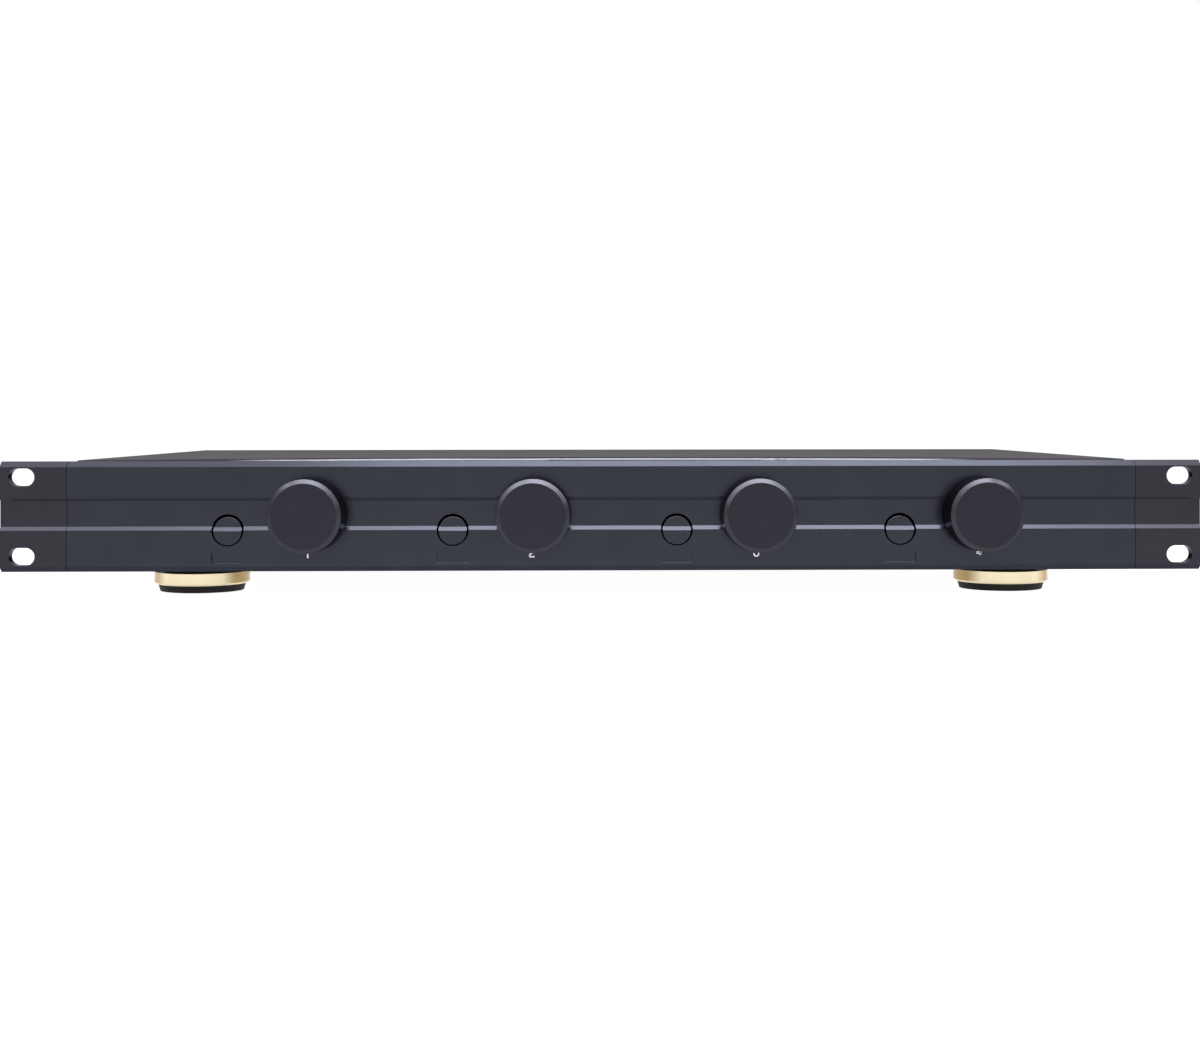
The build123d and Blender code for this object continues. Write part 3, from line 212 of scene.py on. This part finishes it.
def build_layers():
    """Even layers along a direction: their relief, and a mask of the joints between them."""
    tree, given, wanted = new_group(
        "layers",
        {"Direction": (0.0, 0.0, 1.0), "Pitch": 0.5 * MM, "Waver": 0.05},
        {"Height": float, "Joint": float},
    )
    place = add_place(tree)
    counted = add_math(tree, "DIVIDE", add_dot(tree, place, given["Direction"]), given["Pitch"])
    noise = add_noise(tree, place, WAVER_SCALE, WAVER_DETAIL)
    wavering = add_math(tree, "ADD", counted, add_math(tree, "MULTIPLY", noise, given["Waver"]))
    turn = add_math(tree, "MULTIPLY", wavering, 2 * math.pi)
    half_wave = add_math(tree, "MULTIPLY", add_math(tree, "COSINE", turn), 0.5)
    wave = add_math(tree, "ADD", half_wave, 0.5)
    tree.links.new(add_math(tree, "SQRT", wave), wanted["Height"])
    tree.links.new(add_range(tree, wave, 0.0, JOINT_REACH, 1.0, 0.0), wanted["Joint"])
    return tree


def build_slant():
    """Mask that is one where a surface faces along a direction by a share between two limits.

    It fades out before it reaches a distance to the left and right of the middle. The finishes use
    it to paint light and shade by the way a surface faces.
    """
    tree, given, wanted = new_group(
        "slant",
        {
            "Direction": (0.0, 1.0, 0.0),
            "Low": 0.6,
            "High": 0.9,
            "Blur": 0.04,
            "Reach": 1.0,
            "Fade": 25 * MM,
        },
        {"Mask": float},
    )
    share = add_math(tree, "ABSOLUTE", add_dot(tree, add_normal(tree), given["Direction"]))
    over = add_math(tree, "SUBTRACT", share, given["Low"])
    under = add_math(tree, "SUBTRACT", given["High"], share)
    within = add_math(tree, "MINIMUM", over, under)
    rise = add_math(tree, "ADD", add_math(tree, "DIVIDE", within, given["Blur"]), 1.0, clamp=True)
    across = add_node(tree, "ShaderNodeSeparateXYZ", {0: add_place(tree)}).outputs["X"]
    left = add_math(tree, "SUBTRACT", given["Reach"], add_math(tree, "ABSOLUTE", across))
    fade = add_math(tree, "DIVIDE", left, given["Fade"], clamp=True)
    tree.links.new(add_math(tree, "MULTIPLY", rise, fade), wanted["Mask"])
    return tree


GRAIN = build_grain()
EDGE_WEAR = build_edge_wear()
LAYERS = build_layers()
PAINTED_LIGHT_SLANT = build_slant()


def build_finish():
    """Colour, roughness and relief of a finish that is mottled, and worn at its edges."""
    tree, given, wanted = new_group(
        "finish",
        {
            "Base": [0.5, 0.5, 0.5, 1.0],
            "Worn": [0.8, 0.8, 0.8, 1.0],
            "Shade": 0.05,
            "Wear": 0.2,
            "Wear Radius": 0.3 * MM,
            "Grain Size": 0.4 * MM,
            "Stretch": (1.0, 1.0, 1.0),
            "Roughness": 0.4,
            "Swing": 0.1,
        },
        {"Color": list, "Roughness": float, "Height": float},
    )
    grain = place_group(tree, GRAIN, Size=given["Grain Size"], Stretch=given["Stretch"])
    both = add_math(tree, "ADD", grain["Fine"], grain["Broad"])
    swing = add_math(tree, "SUBTRACT", both, 1.0)
    shade = add_math(tree, "MULTIPLY", swing, given["Shade"])
    brightness = add_math(tree, "ADD", add_math(tree, "MULTIPLY", shade, 2.0), 1.0)
    dyed = {"Color": given["Base"], "Value": brightness}
    mottled = add_node(tree, "ShaderNodeHueSaturation", dyed).outputs[0]
    mask = place_group(tree, EDGE_WEAR, Radius=given["Wear Radius"])["Mask"]
    worn_share = add_math(tree, "MULTIPLY", mask, given["Wear"])
    tree.links.new(add_mix(tree, worn_share, mottled, given["Worn"]), wanted["Color"])
    rough_swing = add_math(tree, "MULTIPLY", swing, given["Swing"])
    rough = add_math(tree, "ADD", given["Roughness"], rough_swing, clamp=True)
    tree.links.new(rough, wanted["Roughness"])
    tree.links.new(grain["Fine"], wanted["Height"])
    return tree


FINISH = build_finish()

# ------------------------------------------------------------------ finishes


def new_material(name, bump, shader_values):
    """Material with a Principled shader and a bump, and the sockets that its finish feeds."""
    material = bpy.data.materials.new(name)
    material.use_nodes = True
    tree = material.node_tree
    shader = tree.nodes["Principled BSDF"]
    for label, value in shader_values.items():
        shader.inputs[label].default_value = value
    strength, distance = bump
    relief = add_node(tree, "ShaderNodeBump", {"Strength": strength, "Distance": distance})
    tree.links.new(relief.outputs[0], shader.inputs["Normal"])
    return material, tree, shader.inputs, relief.inputs["Height"]


def plain_finish(name, base, worn, bump, shader_values, slants=(), **finish):
    """Finish with its grain and its worn edges, and colours of painted light and shade where its
    surface faces certain ways.
    """
    material, tree, shader, height = new_material(name, bump, shader_values)
    color = (*base, 1.0)
    for painted_light_color, limits in slants:
        mask = place_group(tree, PAINTED_LIGHT_SLANT, **limits)["Mask"]
        color = add_mix(tree, mask, color, (*painted_light_color, 1.0))
    looks = place_group(tree, FINISH, Base=color, Worn=(*worn, 1.0), **finish)
    tree.links.new(looks["Color"], shader["Base Color"])
    tree.links.new(looks["Roughness"], shader["Roughness"])
    tree.links.new(looks["Height"], height)
    return material


def layered_finish(name, base, joint, worn, bump, shader_values, layers, **finish):
    """Finish of stacked sheets or wound wire: layers, with another colour in their joints."""
    material, tree, shader, height = new_material(name, bump, shader_values)
    looks = place_group(tree, FINISH, Base=(*base, 1.0), Worn=(*worn, 1.0), **finish)
    stack = place_group(tree, LAYERS, **layers)
    color = add_mix(tree, stack["Joint"], looks["Color"], (*joint, 1.0))
    tree.links.new(color, shader["Base Color"])
    tree.links.new(looks["Roughness"], shader["Roughness"])
    grain = add_math(tree, "MULTIPLY", looks["Height"], GRAIN_ON_LAYERS)
    tree.links.new(add_math(tree, "ADD", stack["Height"], grain), height)
    return material


METAL = {"Metallic": 1.0}
SATIN = {**METAL, "Specular Tint": (0.5, 0.5, 0.55, 1.0)}
# The bend along the front of the cover: a painted dark reflection where it starts, and a painted
# highlight where it turns down
BEND_REACH = {"Blur": 0.02, "Reach": 152 * MM}
BEND_PAINTED_SHADE = (0.012, 0.011, 0.014)
BEND_PAINTED_SHADE_LIMITS = {"Low": 0.10, "High": 0.70, **BEND_REACH}
BEND_PAINTED_HIGHLIGHT = (0.30, 0.305, 0.36)
BEND_PAINTED_HIGHLIGHT_LIMITS = {"Low": 0.73, "High": 0.92, **BEND_REACH}
# The left and right flanks of the turned rings, where a darker gold is a painted reflection of the
# shaded floor under the case
RING_SIDE_PAINTED_SHADE_LIMITS = {"Direction": (1.0, 0.0, 0.0), "Low": 0.82, "High": 2.0, "Blur": 0.22}
MATERIALS = {
    "panel_anodised": plain_finish(
        "satin anodised panel",
        (0.0355, 0.037, 0.0475),
        (0.16, 0.165, 0.19),
        (0.10, 0.02 * MM),
        SATIN,
        Shade=0.10,
        Wear=0.15,
        Wear_Radius=0.15 * MM,
        Grain_Size=0.35 * MM,
        Roughness=0.24,
        Swing=0.08,
    ),
    "ear_anodised": plain_finish(
        "satin anodised ears",
        (0.036, 0.0353, 0.044),
        (0.16, 0.16, 0.18),
        (0.10, 0.02 * MM),
        SATIN,
        Shade=0.10,
        Wear=0.15,
        Wear_Radius=0.15 * MM,
        Grain_Size=0.35 * MM,
        Roughness=0.24,
        Swing=0.08,
    ),
    "case_paint": plain_finish(
        "fine textured powder coat",
        (0.021, 0.019, 0.023),
        (0.10, 0.10, 0.10),
        (0.35, 0.08 * MM),
        {"Specular IOR Level": 0.06},
        # painted shade and painted highlight along the front bend of the cover
        ((BEND_PAINTED_SHADE, BEND_PAINTED_SHADE_LIMITS), (BEND_PAINTED_HIGHLIGHT, BEND_PAINTED_HIGHLIGHT_LIMITS)),
        Shade=0.12,
        Wear=0.10,
        Wear_Radius=0.3 * MM,
        Grain_Size=0.7 * MM,
        Roughness=0.60,
        Swing=0.12,
    ),
    "knob_anodised": plain_finish(
        "satin anodised knobs",
        (0.0285, 0.0285, 0.037),
        (0.18, 0.18, 0.21),
        (0.10, 0.02 * MM),
        SATIN,
        # lighter colour on the bevel round each knob face: a painted highlight
        (((0.042, 0.042, 0.051), {"Low": 0.70, "High": 0.88}),),
        Shade=0.08,
        Wear=0.15,
        Wear_Radius=0.12 * MM,
        Grain_Size=0.3 * MM,
        Roughness=0.27,
        Swing=0.08,
    ),
    "black_screws": plain_finish(
        "black oxide screws",
        (0.020, 0.020, 0.022),
        (0.25, 0.25, 0.26),
        (0.15, 0.02 * MM),
        METAL,
        Shade=0.15,
        Wear=0.5,
        Wear_Radius=0.15 * MM,
        Grain_Size=0.25 * MM,
        Roughness=0.38,
        Swing=0.15,
    ),
    "plated_steel": plain_finish(
        "zinc plated steel",
        (0.60, 0.60, 0.58),
        (0.75, 0.75, 0.74),
        (0.10, 0.02 * MM),
        METAL,
        Shade=0.10,
        Wear=0.4,
        Wear_Radius=0.2 * MM,
        Grain_Size=0.5 * MM,
        Roughness=0.33,
        Swing=0.20,
    ),
    "gold_anodised": plain_finish(
        "brushed gold rings",
        (0.84, 0.735, 0.50),
        (0.95, 0.85, 0.62),
        (0.10, 0.02 * MM),
        METAL,
        # darker gold on the flanks: painted reflection of shade
        (((0.46, 0.325, 0.15), RING_SIDE_PAINTED_SHADE_LIMITS),),
        Shade=0.16,
        Wear=0.5,
        Wear_Radius=0.25 * MM,
        Grain_Size=0.35 * MM,
        Stretch=(1.0, 1.0, 0.05),
        Roughness=0.26,
        Swing=0.18,
    ),
    "foot_rubber": plain_finish(
        "moulded rubber",
        (0.024, 0.022, 0.023),
        (0.06, 0.06, 0.06),
        (0.20, 0.05 * MM),
        {"Specular IOR Level": 0.3},
        Shade=0.15,
        Wear=0.3,
        Wear_Radius=0.4 * MM,
        Grain_Size=0.5 * MM,
        Roughness=0.68,
        Swing=0.15,
    ),
    "core_steel": layered_finish(
        "varnished laminations",
        (0.20, 0.19, 0.18),
        (0.05, 0.04, 0.03),
        (0.40, 0.39, 0.37),
        (0.5, 0.05 * MM),
        {"Metallic": 0.7},
        {"Direction": (0.0, 1.0, 0.0), "Pitch": 0.5 * MM, "Waver": 0.03},
        Shade=0.2,
        Wear=0.4,
        Grain_Size=0.8 * MM,
        Roughness=0.45,
        Swing=0.2,
    ),
    "coil_copper": layered_finish(
        "enamelled winding",
        (0.50, 0.20, 0.05),
        (0.12, 0.035, 0.01),
        (0.75, 0.40, 0.18),
        (0.8, 0.12 * MM),
        {"Metallic": 0.8},
        {"Direction": (0.0, 0.0, 1.0), "Pitch": 0.62 * MM, "Waver": 0.25},
        Shade=0.15,
        Wear=0.2,
        Grain_Size=0.6 * MM,
        Roughness=0.30,
        Swing=0.15,
    ),
    "switch_plastic": plain_finish(
        "moulded black plastic",
        (0.030, 0.030, 0.030),
        (0.08, 0.08, 0.08),
        (0.15, 0.03 * MM),
        {"Specular IOR Level": 0.4},
        Shade=0.10,
        Wear=0.2,
        Grain_Size=0.5 * MM,
        Roughness=0.48,
        Swing=0.12,
    ),
    "board_laminate": layered_finish(
        "green solder mask",
        (0.020, 0.130, 0.050),
        (0.024, 0.150, 0.060),
        (0.55, 0.50, 0.30),
        (0.1, 0.02 * MM),
        {"Specular IOR Level": 0.6},
        {"Direction": (1.0, 0.0, 0.0), "Pitch": 0.9 * MM, "Waver": 0.6},
        Shade=0.10,
        Wear=0.3,
        Wear_Radius=0.2 * MM,
        Grain_Size=1.2 * MM,
        Roughness=0.32,
        Swing=0.10,
    ),
    "terminal_plastic": plain_finish(
        "moulded green plastic",
        (0.020, 0.300, 0.090),
        (0.10, 0.45, 0.20),
        (0.15, 0.03 * MM),
        {"Specular IOR Level": 0.45},
        Shade=0.08,
        Wear=0.25,
        Wear_Radius=0.2 * MM,
        Grain_Size=0.5 * MM,
        Roughness=0.42,
        Swing=0.12,
    ),
    "slider_plastic": plain_finish(
        "moulded white plastic",
        (0.70, 0.69, 0.65),
        (0.80, 0.79, 0.76),
        (0.15, 0.03 * MM),
        {"Specular IOR Level": 0.4},
        Shade=0.05,
        Wear=0.2,
        Grain_Size=0.5 * MM,
        Roughness=0.45,
        Swing=0.10,
    ),
}
PRINT_INK = plain_finish(
    "white printing ink",
    (0.90, 0.90, 0.92),
    (0.90, 0.90, 0.92),
    (0.10, 0.01 * MM),
    {"Specular IOR Level": 0.3},
    Shade=0.05,
    Wear=0.0,
    Grain_Size=0.15 * MM,
    Roughness=0.55,
    Swing=0.10,
)


def dress_nodes():
    """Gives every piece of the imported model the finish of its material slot."""
    for part in frame["record"]["subparts"]:
        for holder in NODES[part["node"]].material_slots:
            holder.material = MATERIALS[part["material_slot"]]


dress_nodes()
bpy.ops.object.select_all(action="DESELECT")

# ------------------------------------------------------------------ modelling steps


def active():
    """The object that was made or changed last."""
    return bpy.context.view_layer.objects.active


def settle(piece, name, material, body):
    """Names a finished piece, gives it its finish and the body that it moves with."""
    piece.name = name
    piece.data.name = name
    piece.data.materials.clear()
    piece.data.materials.append(material)
    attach(piece, body)
    piece.select_set(False)


def bake_place(piece):
    """Moves a piece's place, turn and scale into its mesh."""
    bpy.context.view_layer.update()
    piece.data.transform(piece.matrix_world)
    piece.matrix_world = Matrix.Identity(4)


def own_copy(piece, offset):
    """Copy of a piece with a mesh of its own, moved by an offset."""
    copy = piece.copy()
    copy.data = piece.data.copy()
    bpy.context.scene.collection.objects.link(copy)
    copy.data.transform(Matrix.Translation(offset))
    return copy


def pick_edges(piece, test):
    """Selects the edges of a piece whose middle passes a test, and stays in edit mode."""
    bpy.ops.object.mode_set(mode="EDIT")
    bpy.ops.mesh.select_mode(type="EDGE")
    bpy.ops.mesh.select_all(action="DESELECT")
    bpy.ops.object.mode_set(mode="OBJECT")
    for edge in piece.data.edges:
        start, end = (piece.data.vertices[index].co for index in edge.vertices)
        edge.select = test((start + end) / 2)
    bpy.ops.object.mode_set(mode="EDIT")


def apply_modifier(piece, kind, **settings):
    """Adds a modifier and applies it."""
    bpy.context.view_layer.objects.active = piece
    modifier = piece.modifiers.new("step", kind)
    for name, value in settings.items():
        setattr(modifier, name, value)
    bpy.ops.object.modifier_apply(modifier=modifier.name)


# ------------------------------------------------------------------ printed marks

FACE_LOW, FACE_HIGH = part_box("faceplate")
PANEL_MIDDLE = (FACE_LOW.z + FACE_HIGH.z) / 2
REAR_LOW, REAR_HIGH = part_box("rear_panel")
INK = 0.03 * MM
NUMBER_HEIGHT = 3.6 * MM
NUMBER_WIDTH = 2.5 * MM
NUMBER_STROKE = 0.6 * MM
NUMBER_LEFT = 0.6 * MM
NUMBER_BOTTOMS = [PANEL_MIDDLE - drop * MM for drop in (16.95, 16.55, 16.45, 16.3)]
STROKE_ORDER = 3
STROKE_STEPS = 6
SAME_POINT = 0.001 * MM
FRONT, BACK = 0.0, math.pi

# Strokes of each figure as points across and up its box, from 0 to 1
STROKES = {
    "1": [[(0.1, 0.70), (0.35, 0.82), (0.58, 1.0), (0.58, 1.0), (0.58, 0.5), (0.58, 0.0)]],
    "2": [[
        (0.05, 0.64), (0.0, 0.92), (0.3, 1.0), (0.75, 1.0), (1.05, 0.9), (1.1, 0.64), (0.75, 0.52),
        (0.1, 0.40), (-0.05, 0.2), (0.0, 0.0), (0.0, 0.0), (0.5, 0.0), (1.0, 0.0),
    ]],
    "3": [[
        (0.0, 0.78), (0.0, 1.0), (0.5, 1.0), (1.0, 1.0), (1.0, 0.79), (1.0, 0.57), (0.45, 0.57),
    ], [
        (0.45, 0.57), (1.0, 0.57), (1.0, 0.26), (0.9, 0.0), (0.5, 0.0), (0.1, 0.0), (0.0, 0.36),
    ]],
    "4": [
        [(0.7, 0.0), (0.7, 0.5), (0.7, 1.0)],
        [(0.7, 1.0), (0.35, 0.62), (0.0, 0.24)],
        [(0.0, 0.24), (0.5, 0.24), (1.0, 0.24)],
    ],
    "+": [[(0.0, 0.5), (0.5, 0.5), (1.0, 0.5)], [(0.5, 0.0), (0.5, 0.5), (0.5, 1.0)]],
    "-": [[(0.0, 0.5), (0.5, 0.5), (1.0, 0.5)]],
}


def flat_pen(width):
    """Closed outline of a flat pen, as wide as a stroke and as thick as the ink."""
    outline = bpy.data.curves.new("pen", "CURVE")
    outline.dimensions = "2D"
    spline = outline.splines.new("POLY")
    corners = ((-1, -1), (1, -1), (1, 1), (-1, 1))
    spline.points.add(len(corners) - 1)
    for point, (across, up) in zip(spline.points, corners):
        point.co = (across * width / 2, up * INK / 2, 0, 1)
    spline.use_cyclic_u = True
    pen = bpy.data.objects.new("pen", outline)
    bpy.context.scene.collection.objects.link(pen)
    return pen


def printed(figure, name, place, size, stroke, side):
    """One figure printed on the front or the back, by its middle and bottom edge."""
    width, height = size
    pen = flat_pen(stroke)
    lines = bpy.data.curves.new(name, "CURVE")
    lines.dimensions = "2D"
    lines.bevel_mode = "OBJECT"
    lines.bevel_object = pen
    lines.use_fill_caps = True
    for points in STROKES[figure]:
        spline = lines.splines.new("NURBS")
        spline.points.add(len(points) - 1)
        for point, (across, up) in zip(spline.points, points):
            x = (across - 0.5) * (width - stroke)
            point.co = (x, stroke / 2 + up * (height - stroke), 0, 1)
        spline.order_u = STROKE_ORDER
        spline.use_endpoint_u = True
        spline.resolution_u = STROKE_STEPS
    writing = bpy.data.objects.new(name, lines)
    bpy.context.scene.collection.objects.link(writing)
    writing.select_set(True)
    bpy.context.view_layer.objects.active = writing
    bpy.ops.object.convert(target="MESH")
    piece = active()
    bpy.data.objects.remove(pen)
    stand = Matrix.Rotation(math.pi / 2, 4, "X")
    turn = Matrix.Rotation(side, 4, "Z")
    piece.data.transform(Matrix.Translation(place) @ turn @ stand)
    bpy.ops.object.mode_set(mode="EDIT")
    bpy.ops.mesh.select_all(action="SELECT")
    bpy.ops.mesh.remove_doubles(threshold=SAME_POINT)
    bpy.ops.mesh.normals_make_consistent(inside=False)
    bpy.ops.object.mode_set(mode="OBJECT")
    settle(piece, name, PRINT_INK, "chassis")


def centre_x(node):
    """Middle of a piece from left to right."""
    low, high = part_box(node)
    return (low.x + high.x) / 2


for zone, bottom in zip(ZONES, NUMBER_BOTTOMS):
    number_place = (centre_x(f"knob_{zone}") - NUMBER_LEFT, FACE_LOW.y, bottom)
    number_size = (NUMBER_WIDTH, NUMBER_HEIGHT)
    printed(str(zone), f"zone_number_{zone}", number_place, number_size, NUMBER_STROKE, FRONT)

# ------------------------------------------------------------------ plug hardware and its marks

POLE_COUNT = 4
POLE_PITCH = 5.08 * MM
PLUG_ROOM = 0.3 * MM
WELL_DEPTH = 2.5 * MM
CLAMP_SCREW_RADIUS = 1.55 * MM
CLAMP_SCREW_HEIGHT = 1.6 * MM
CLAMP_SCREW_EDGE = 0.2 * MM
CLAMP_SCREW_SIDES = 40
CLAMP_SCREW_EDGE_STEPS = 3
CLAMP_SLOT = (4.0 * MM, 0.5 * MM, 1.2 * MM)
CAGE_SIDE = 3.3 * MM
CAGE_WALL = 0.4 * MM
CAGE_LENGTH = 4.0 * MM
CAGE_SETBACK = 1.3 * MM
CAGE_EDGE = 0.12 * MM
CAGE_EDGE_STEPS = 2
CAGE_OPENING_LENGTH = 2.5 * CAGE_LENGTH
WIRE_ENTRY_DROP = 7.2 * MM
POLE_SIGNS = "+--+"
SIGN_SIZE = (1.8 * MM, 1.8 * MM)
SIGN_STROKE = 0.4 * MM
SIGN_RISE = 1.6 * MM
REAR_NUMBER_SIZE = (2.9 * MM, 4.0 * MM)
REAR_NUMBER_STROKE = 0.6 * MM
REAR_NUMBER_RISE = 5.4 * MM
PLUGS = {f"terminal_plug_zone_{zone}": f"zone_{zone}_plug" for zone in ZONES}
PLUGS["terminal_plug_input"] = "input_plug"


def cut_out(piece, size, place):
    """Cuts a straight bar out of a piece."""
    bpy.ops.mesh.primitive_cube_add(size=1.0, location=place)
    bar = active()
    bar.scale = size
    bpy.context.view_layer.update()
    bar.select_set(False)
    apply_modifier(piece, "BOOLEAN", object=bar, operation="DIFFERENCE", solver="EXACT")
    bpy.data.objects.remove(bar)


def repeat_across(piece):
    """Repeats a piece once for each pole of a plug, its first copy at the left-hand pole."""
    apply_modifier(
        piece,
        "ARRAY",
        count=POLE_COUNT,
        use_relative_offset=False,
        use_constant_offset=True,
        constant_offset_displace=(POLE_PITCH, 0, 0),
    )
    piece.data.transform(Matrix.Translation((-POLE_PITCH * (POLE_COUNT - 1) / 2, 0, 0)))


def clamp_screws():
    """Row of slotted screw heads, the middle of their undersides at the origin."""
    bpy.ops.mesh.primitive_cylinder_add(
        vertices=CLAMP_SCREW_SIDES,
        radius=CLAMP_SCREW_RADIUS,
        depth=CLAMP_SCREW_HEIGHT,
        location=(0, 0, CLAMP_SCREW_HEIGHT / 2),
    )
    screw = active()
    bake_place(screw)
    rim = CLAMP_SCREW_HEIGHT - CLAMP_SCREW_EDGE / 2
    pick_edges(screw, lambda middle: middle.z > rim)
    bpy.ops.mesh.bevel(offset=CLAMP_SCREW_EDGE, segments=CLAMP_SCREW_EDGE_STEPS)
    bpy.ops.object.mode_set(mode="OBJECT")
    screw.select_set(False)
    cut_out(screw, CLAMP_SLOT, (0, 0, CLAMP_SCREW_HEIGHT))
    repeat_across(screw)
    return screw


def wire_cages():
    """Row of square wire cages, the middle of their rear ends at the origin."""
    bpy.ops.mesh.primitive_cube_add(size=1.0, location=(0, -CAGE_LENGTH / 2, 0))
    cage = active()
    cage.scale = (CAGE_SIDE, CAGE_LENGTH, CAGE_SIDE)
    bake_place(cage)
    cage.select_set(False)
    opening = CAGE_SIDE - 2 * CAGE_WALL
    cut_out(cage, (opening, CAGE_OPENING_LENGTH, opening), (0, 0, 0))
    rounding = {"width": CAGE_EDGE, "segments": CAGE_EDGE_STEPS, "limit_method": "ANGLE"}
    apply_modifier(cage, "BEVEL", **rounding)
    repeat_across(cage)
    return cage


def plug_hardware():
    """Screws and wire cages of every plug, riding with it."""
    screws, cages = clamp_screws(), wire_cages()
    steel = MATERIALS["plated_steel"]
    for plug, body in PLUGS.items():
        low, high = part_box(plug)
        middle = centre_x(plug)
        well = Vector((middle, (REAR_HIGH.y + PLUG_ROOM + high.y) / 2, high.z - WELL_DEPTH))
        settle(own_copy(screws, well), f"{plug}_clamp_screws", steel, body)
        entry = Vector((middle, high.y - CAGE_SETBACK, high.z - WIRE_ENTRY_DROP))
        settle(own_copy(cages, entry), f"{plug}_wire_cages", steel, body)
    for pattern in (screws, cages):
        bpy.data.objects.remove(pattern)


def plug_marks():
    """Polarity signs above the poles of every plug, and the number of each zone above them."""
    for plug in PLUGS:
        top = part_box(plug)[1].z
        middle = centre_x(plug)
        for pole, sign in enumerate(POLE_SIGNS):
            x = middle + POLE_PITCH * (pole - (POLE_COUNT - 1) / 2)
            place = (x, REAR_HIGH.y, top + SIGN_RISE)
            printed(sign, f"{plug}_sign_{pole + 1}", place, SIGN_SIZE, SIGN_STROKE, BACK)
        figure = plug[-1]
        if figure in STROKES:
            place = (middle, REAR_HIGH.y, top + REAR_NUMBER_RISE)
            printed(figure, f"{plug}_number", place, REAR_NUMBER_SIZE, REAR_NUMBER_STROKE, BACK)


plug_hardware()
plug_marks()

# ------------------------------------------------------------------ floor, light and background

FLOOR_SIZE = 12.0
FLOOR_PALE = (0.8, 0.8, 0.8, 1.0)
FLOOR_FAINT = (0.18, 0.18, 0.18, 1.0)
FLOOR_GLOW = 0.985
WHITE = (1.0, 1.0, 1.0, 1.0)
AMBIENT = 0.35
LAMPS = (
    # name, place, aimed at, width and height, brightness of its face
    ("front strip", (0.10, -0.39, 1.05), (0.10, -0.39, 0.0), (2.4, 0.22), 4.45),
    ("front strip middle", (0.15, -0.39, 1.04), (0.15, -0.39, 0.0), (0.68, 0.22), 3.5),
    ("rear strip", (0.0, 0.17, 1.05), (0.0, 0.17, 0.0), (2.2, 0.16), 3.05),
    ("rear strip middle", (0.12, 0.17, 1.04), (0.12, 0.17, 0.0), (0.72, 0.16), 6.0),
    ("low bar", (0.0, -0.222, 0.30), (0.0, -0.222, 0.0), (0.46, 0.05), 6.6),
    ("left arch", (-0.98, -0.50, 0.80), (0.0, -0.14, 0.03), (0.18, 0.76), 4.0),
    ("right arch", (0.98, -0.50, 0.80), (0.0, -0.14, 0.03), (0.18, 0.76), 4.0),
    ("front fill", (-0.25, -1.6, 1.1), (0.0, 0.0, 0.03), (1.6, 0.9), 3.5),
)
# Power that each square metre of a lamp's face needs for a brightness of one
POWER_FOR_BRIGHTNESS = 4.0


def add_seen_share(tree):
    """One for rays from the camera, mirrors and glass, and zero for the rays that light things."""
    path = add_node(tree, "ShaderNodeLightPath").outputs
    seen = add_math(tree, "MAXIMUM", path["Is Camera Ray"], path["Is Glossy Ray"])
    return add_math(tree, "MAXIMUM", seen, path["Is Transmission Ray"])


def make_floor():
    """Pale floor that is seen as white and keeps a faint shadow."""
    material = bpy.data.materials.new("pale floor")
    material.use_nodes = True
    tree = material.node_tree
    tree.nodes.clear()
    pale = add_node(tree, "ShaderNodeBsdfDiffuse", {"Color": FLOOR_PALE}).outputs[0]
    faint = add_node(tree, "ShaderNodeBsdfDiffuse", {"Color": FLOOR_FAINT}).outputs[0]
    white = {"Color": WHITE, "Strength": FLOOR_GLOW}
    glow = add_node(tree, "ShaderNodeEmission", white).outputs[0]
    seen_white = add_node(tree, "ShaderNodeAddShader", {0: faint, 1: glow}).outputs[0]
    sides = {0: add_seen_share(tree), 1: pale, 2: seen_white}
    mixed = add_node(tree, "ShaderNodeMixShader", sides).outputs[0]
    add_node(tree, "ShaderNodeOutputMaterial", {"Surface": mixed})
    bpy.ops.mesh.primitive_plane_add(size=FLOOR_SIZE, location=(0, 0, 0))
    floor = active()
    floor.name = "floor"
    floor.data.materials.append(material)
    floor.select_set(False)


def make_background():
    """White all round as it is seen, and a dimmer even light on the object."""
    world = bpy.data.worlds.new("studio")
    bpy.context.scene.world = world
    world.use_nodes = True
    tree = world.node_tree
    tree.nodes.clear()
    seen = add_seen_share(tree)
    rest = add_math(tree, "MULTIPLY", seen, 1.0 - AMBIENT)
    strength = add_math(tree, "ADD", rest, AMBIENT)
    light = add_node(tree, "ShaderNodeBackground", {"Color": WHITE, "Strength": strength})
    add_node(tree, "ShaderNodeOutputWorld", {"Surface": light.outputs[0]})


def make_lamp(name, place, target, size, brightness):
    """Rectangular soft lamp at a place, aimed at a target, with the brightness of its face."""
    data = bpy.data.lights.new(name, "AREA")
    data.shape = "RECTANGLE"
    width, height = size
    data.size, data.size_y = width, height
    data.energy = POWER_FOR_BRIGHTNESS * brightness * width * height
    lamp = bpy.data.objects.new(name, data)
    lamp.location = place
    aim = Vector(target) - Vector(place)
    lamp.rotation_euler = aim.to_track_quat("-Z", "Y").to_euler()
    bpy.context.scene.collection.objects.link(lamp)


bpy.context.scene.view_settings.view_transform = "Standard"
make_floor()
make_background()
for lamp in LAMPS:
    make_lamp(*lamp)
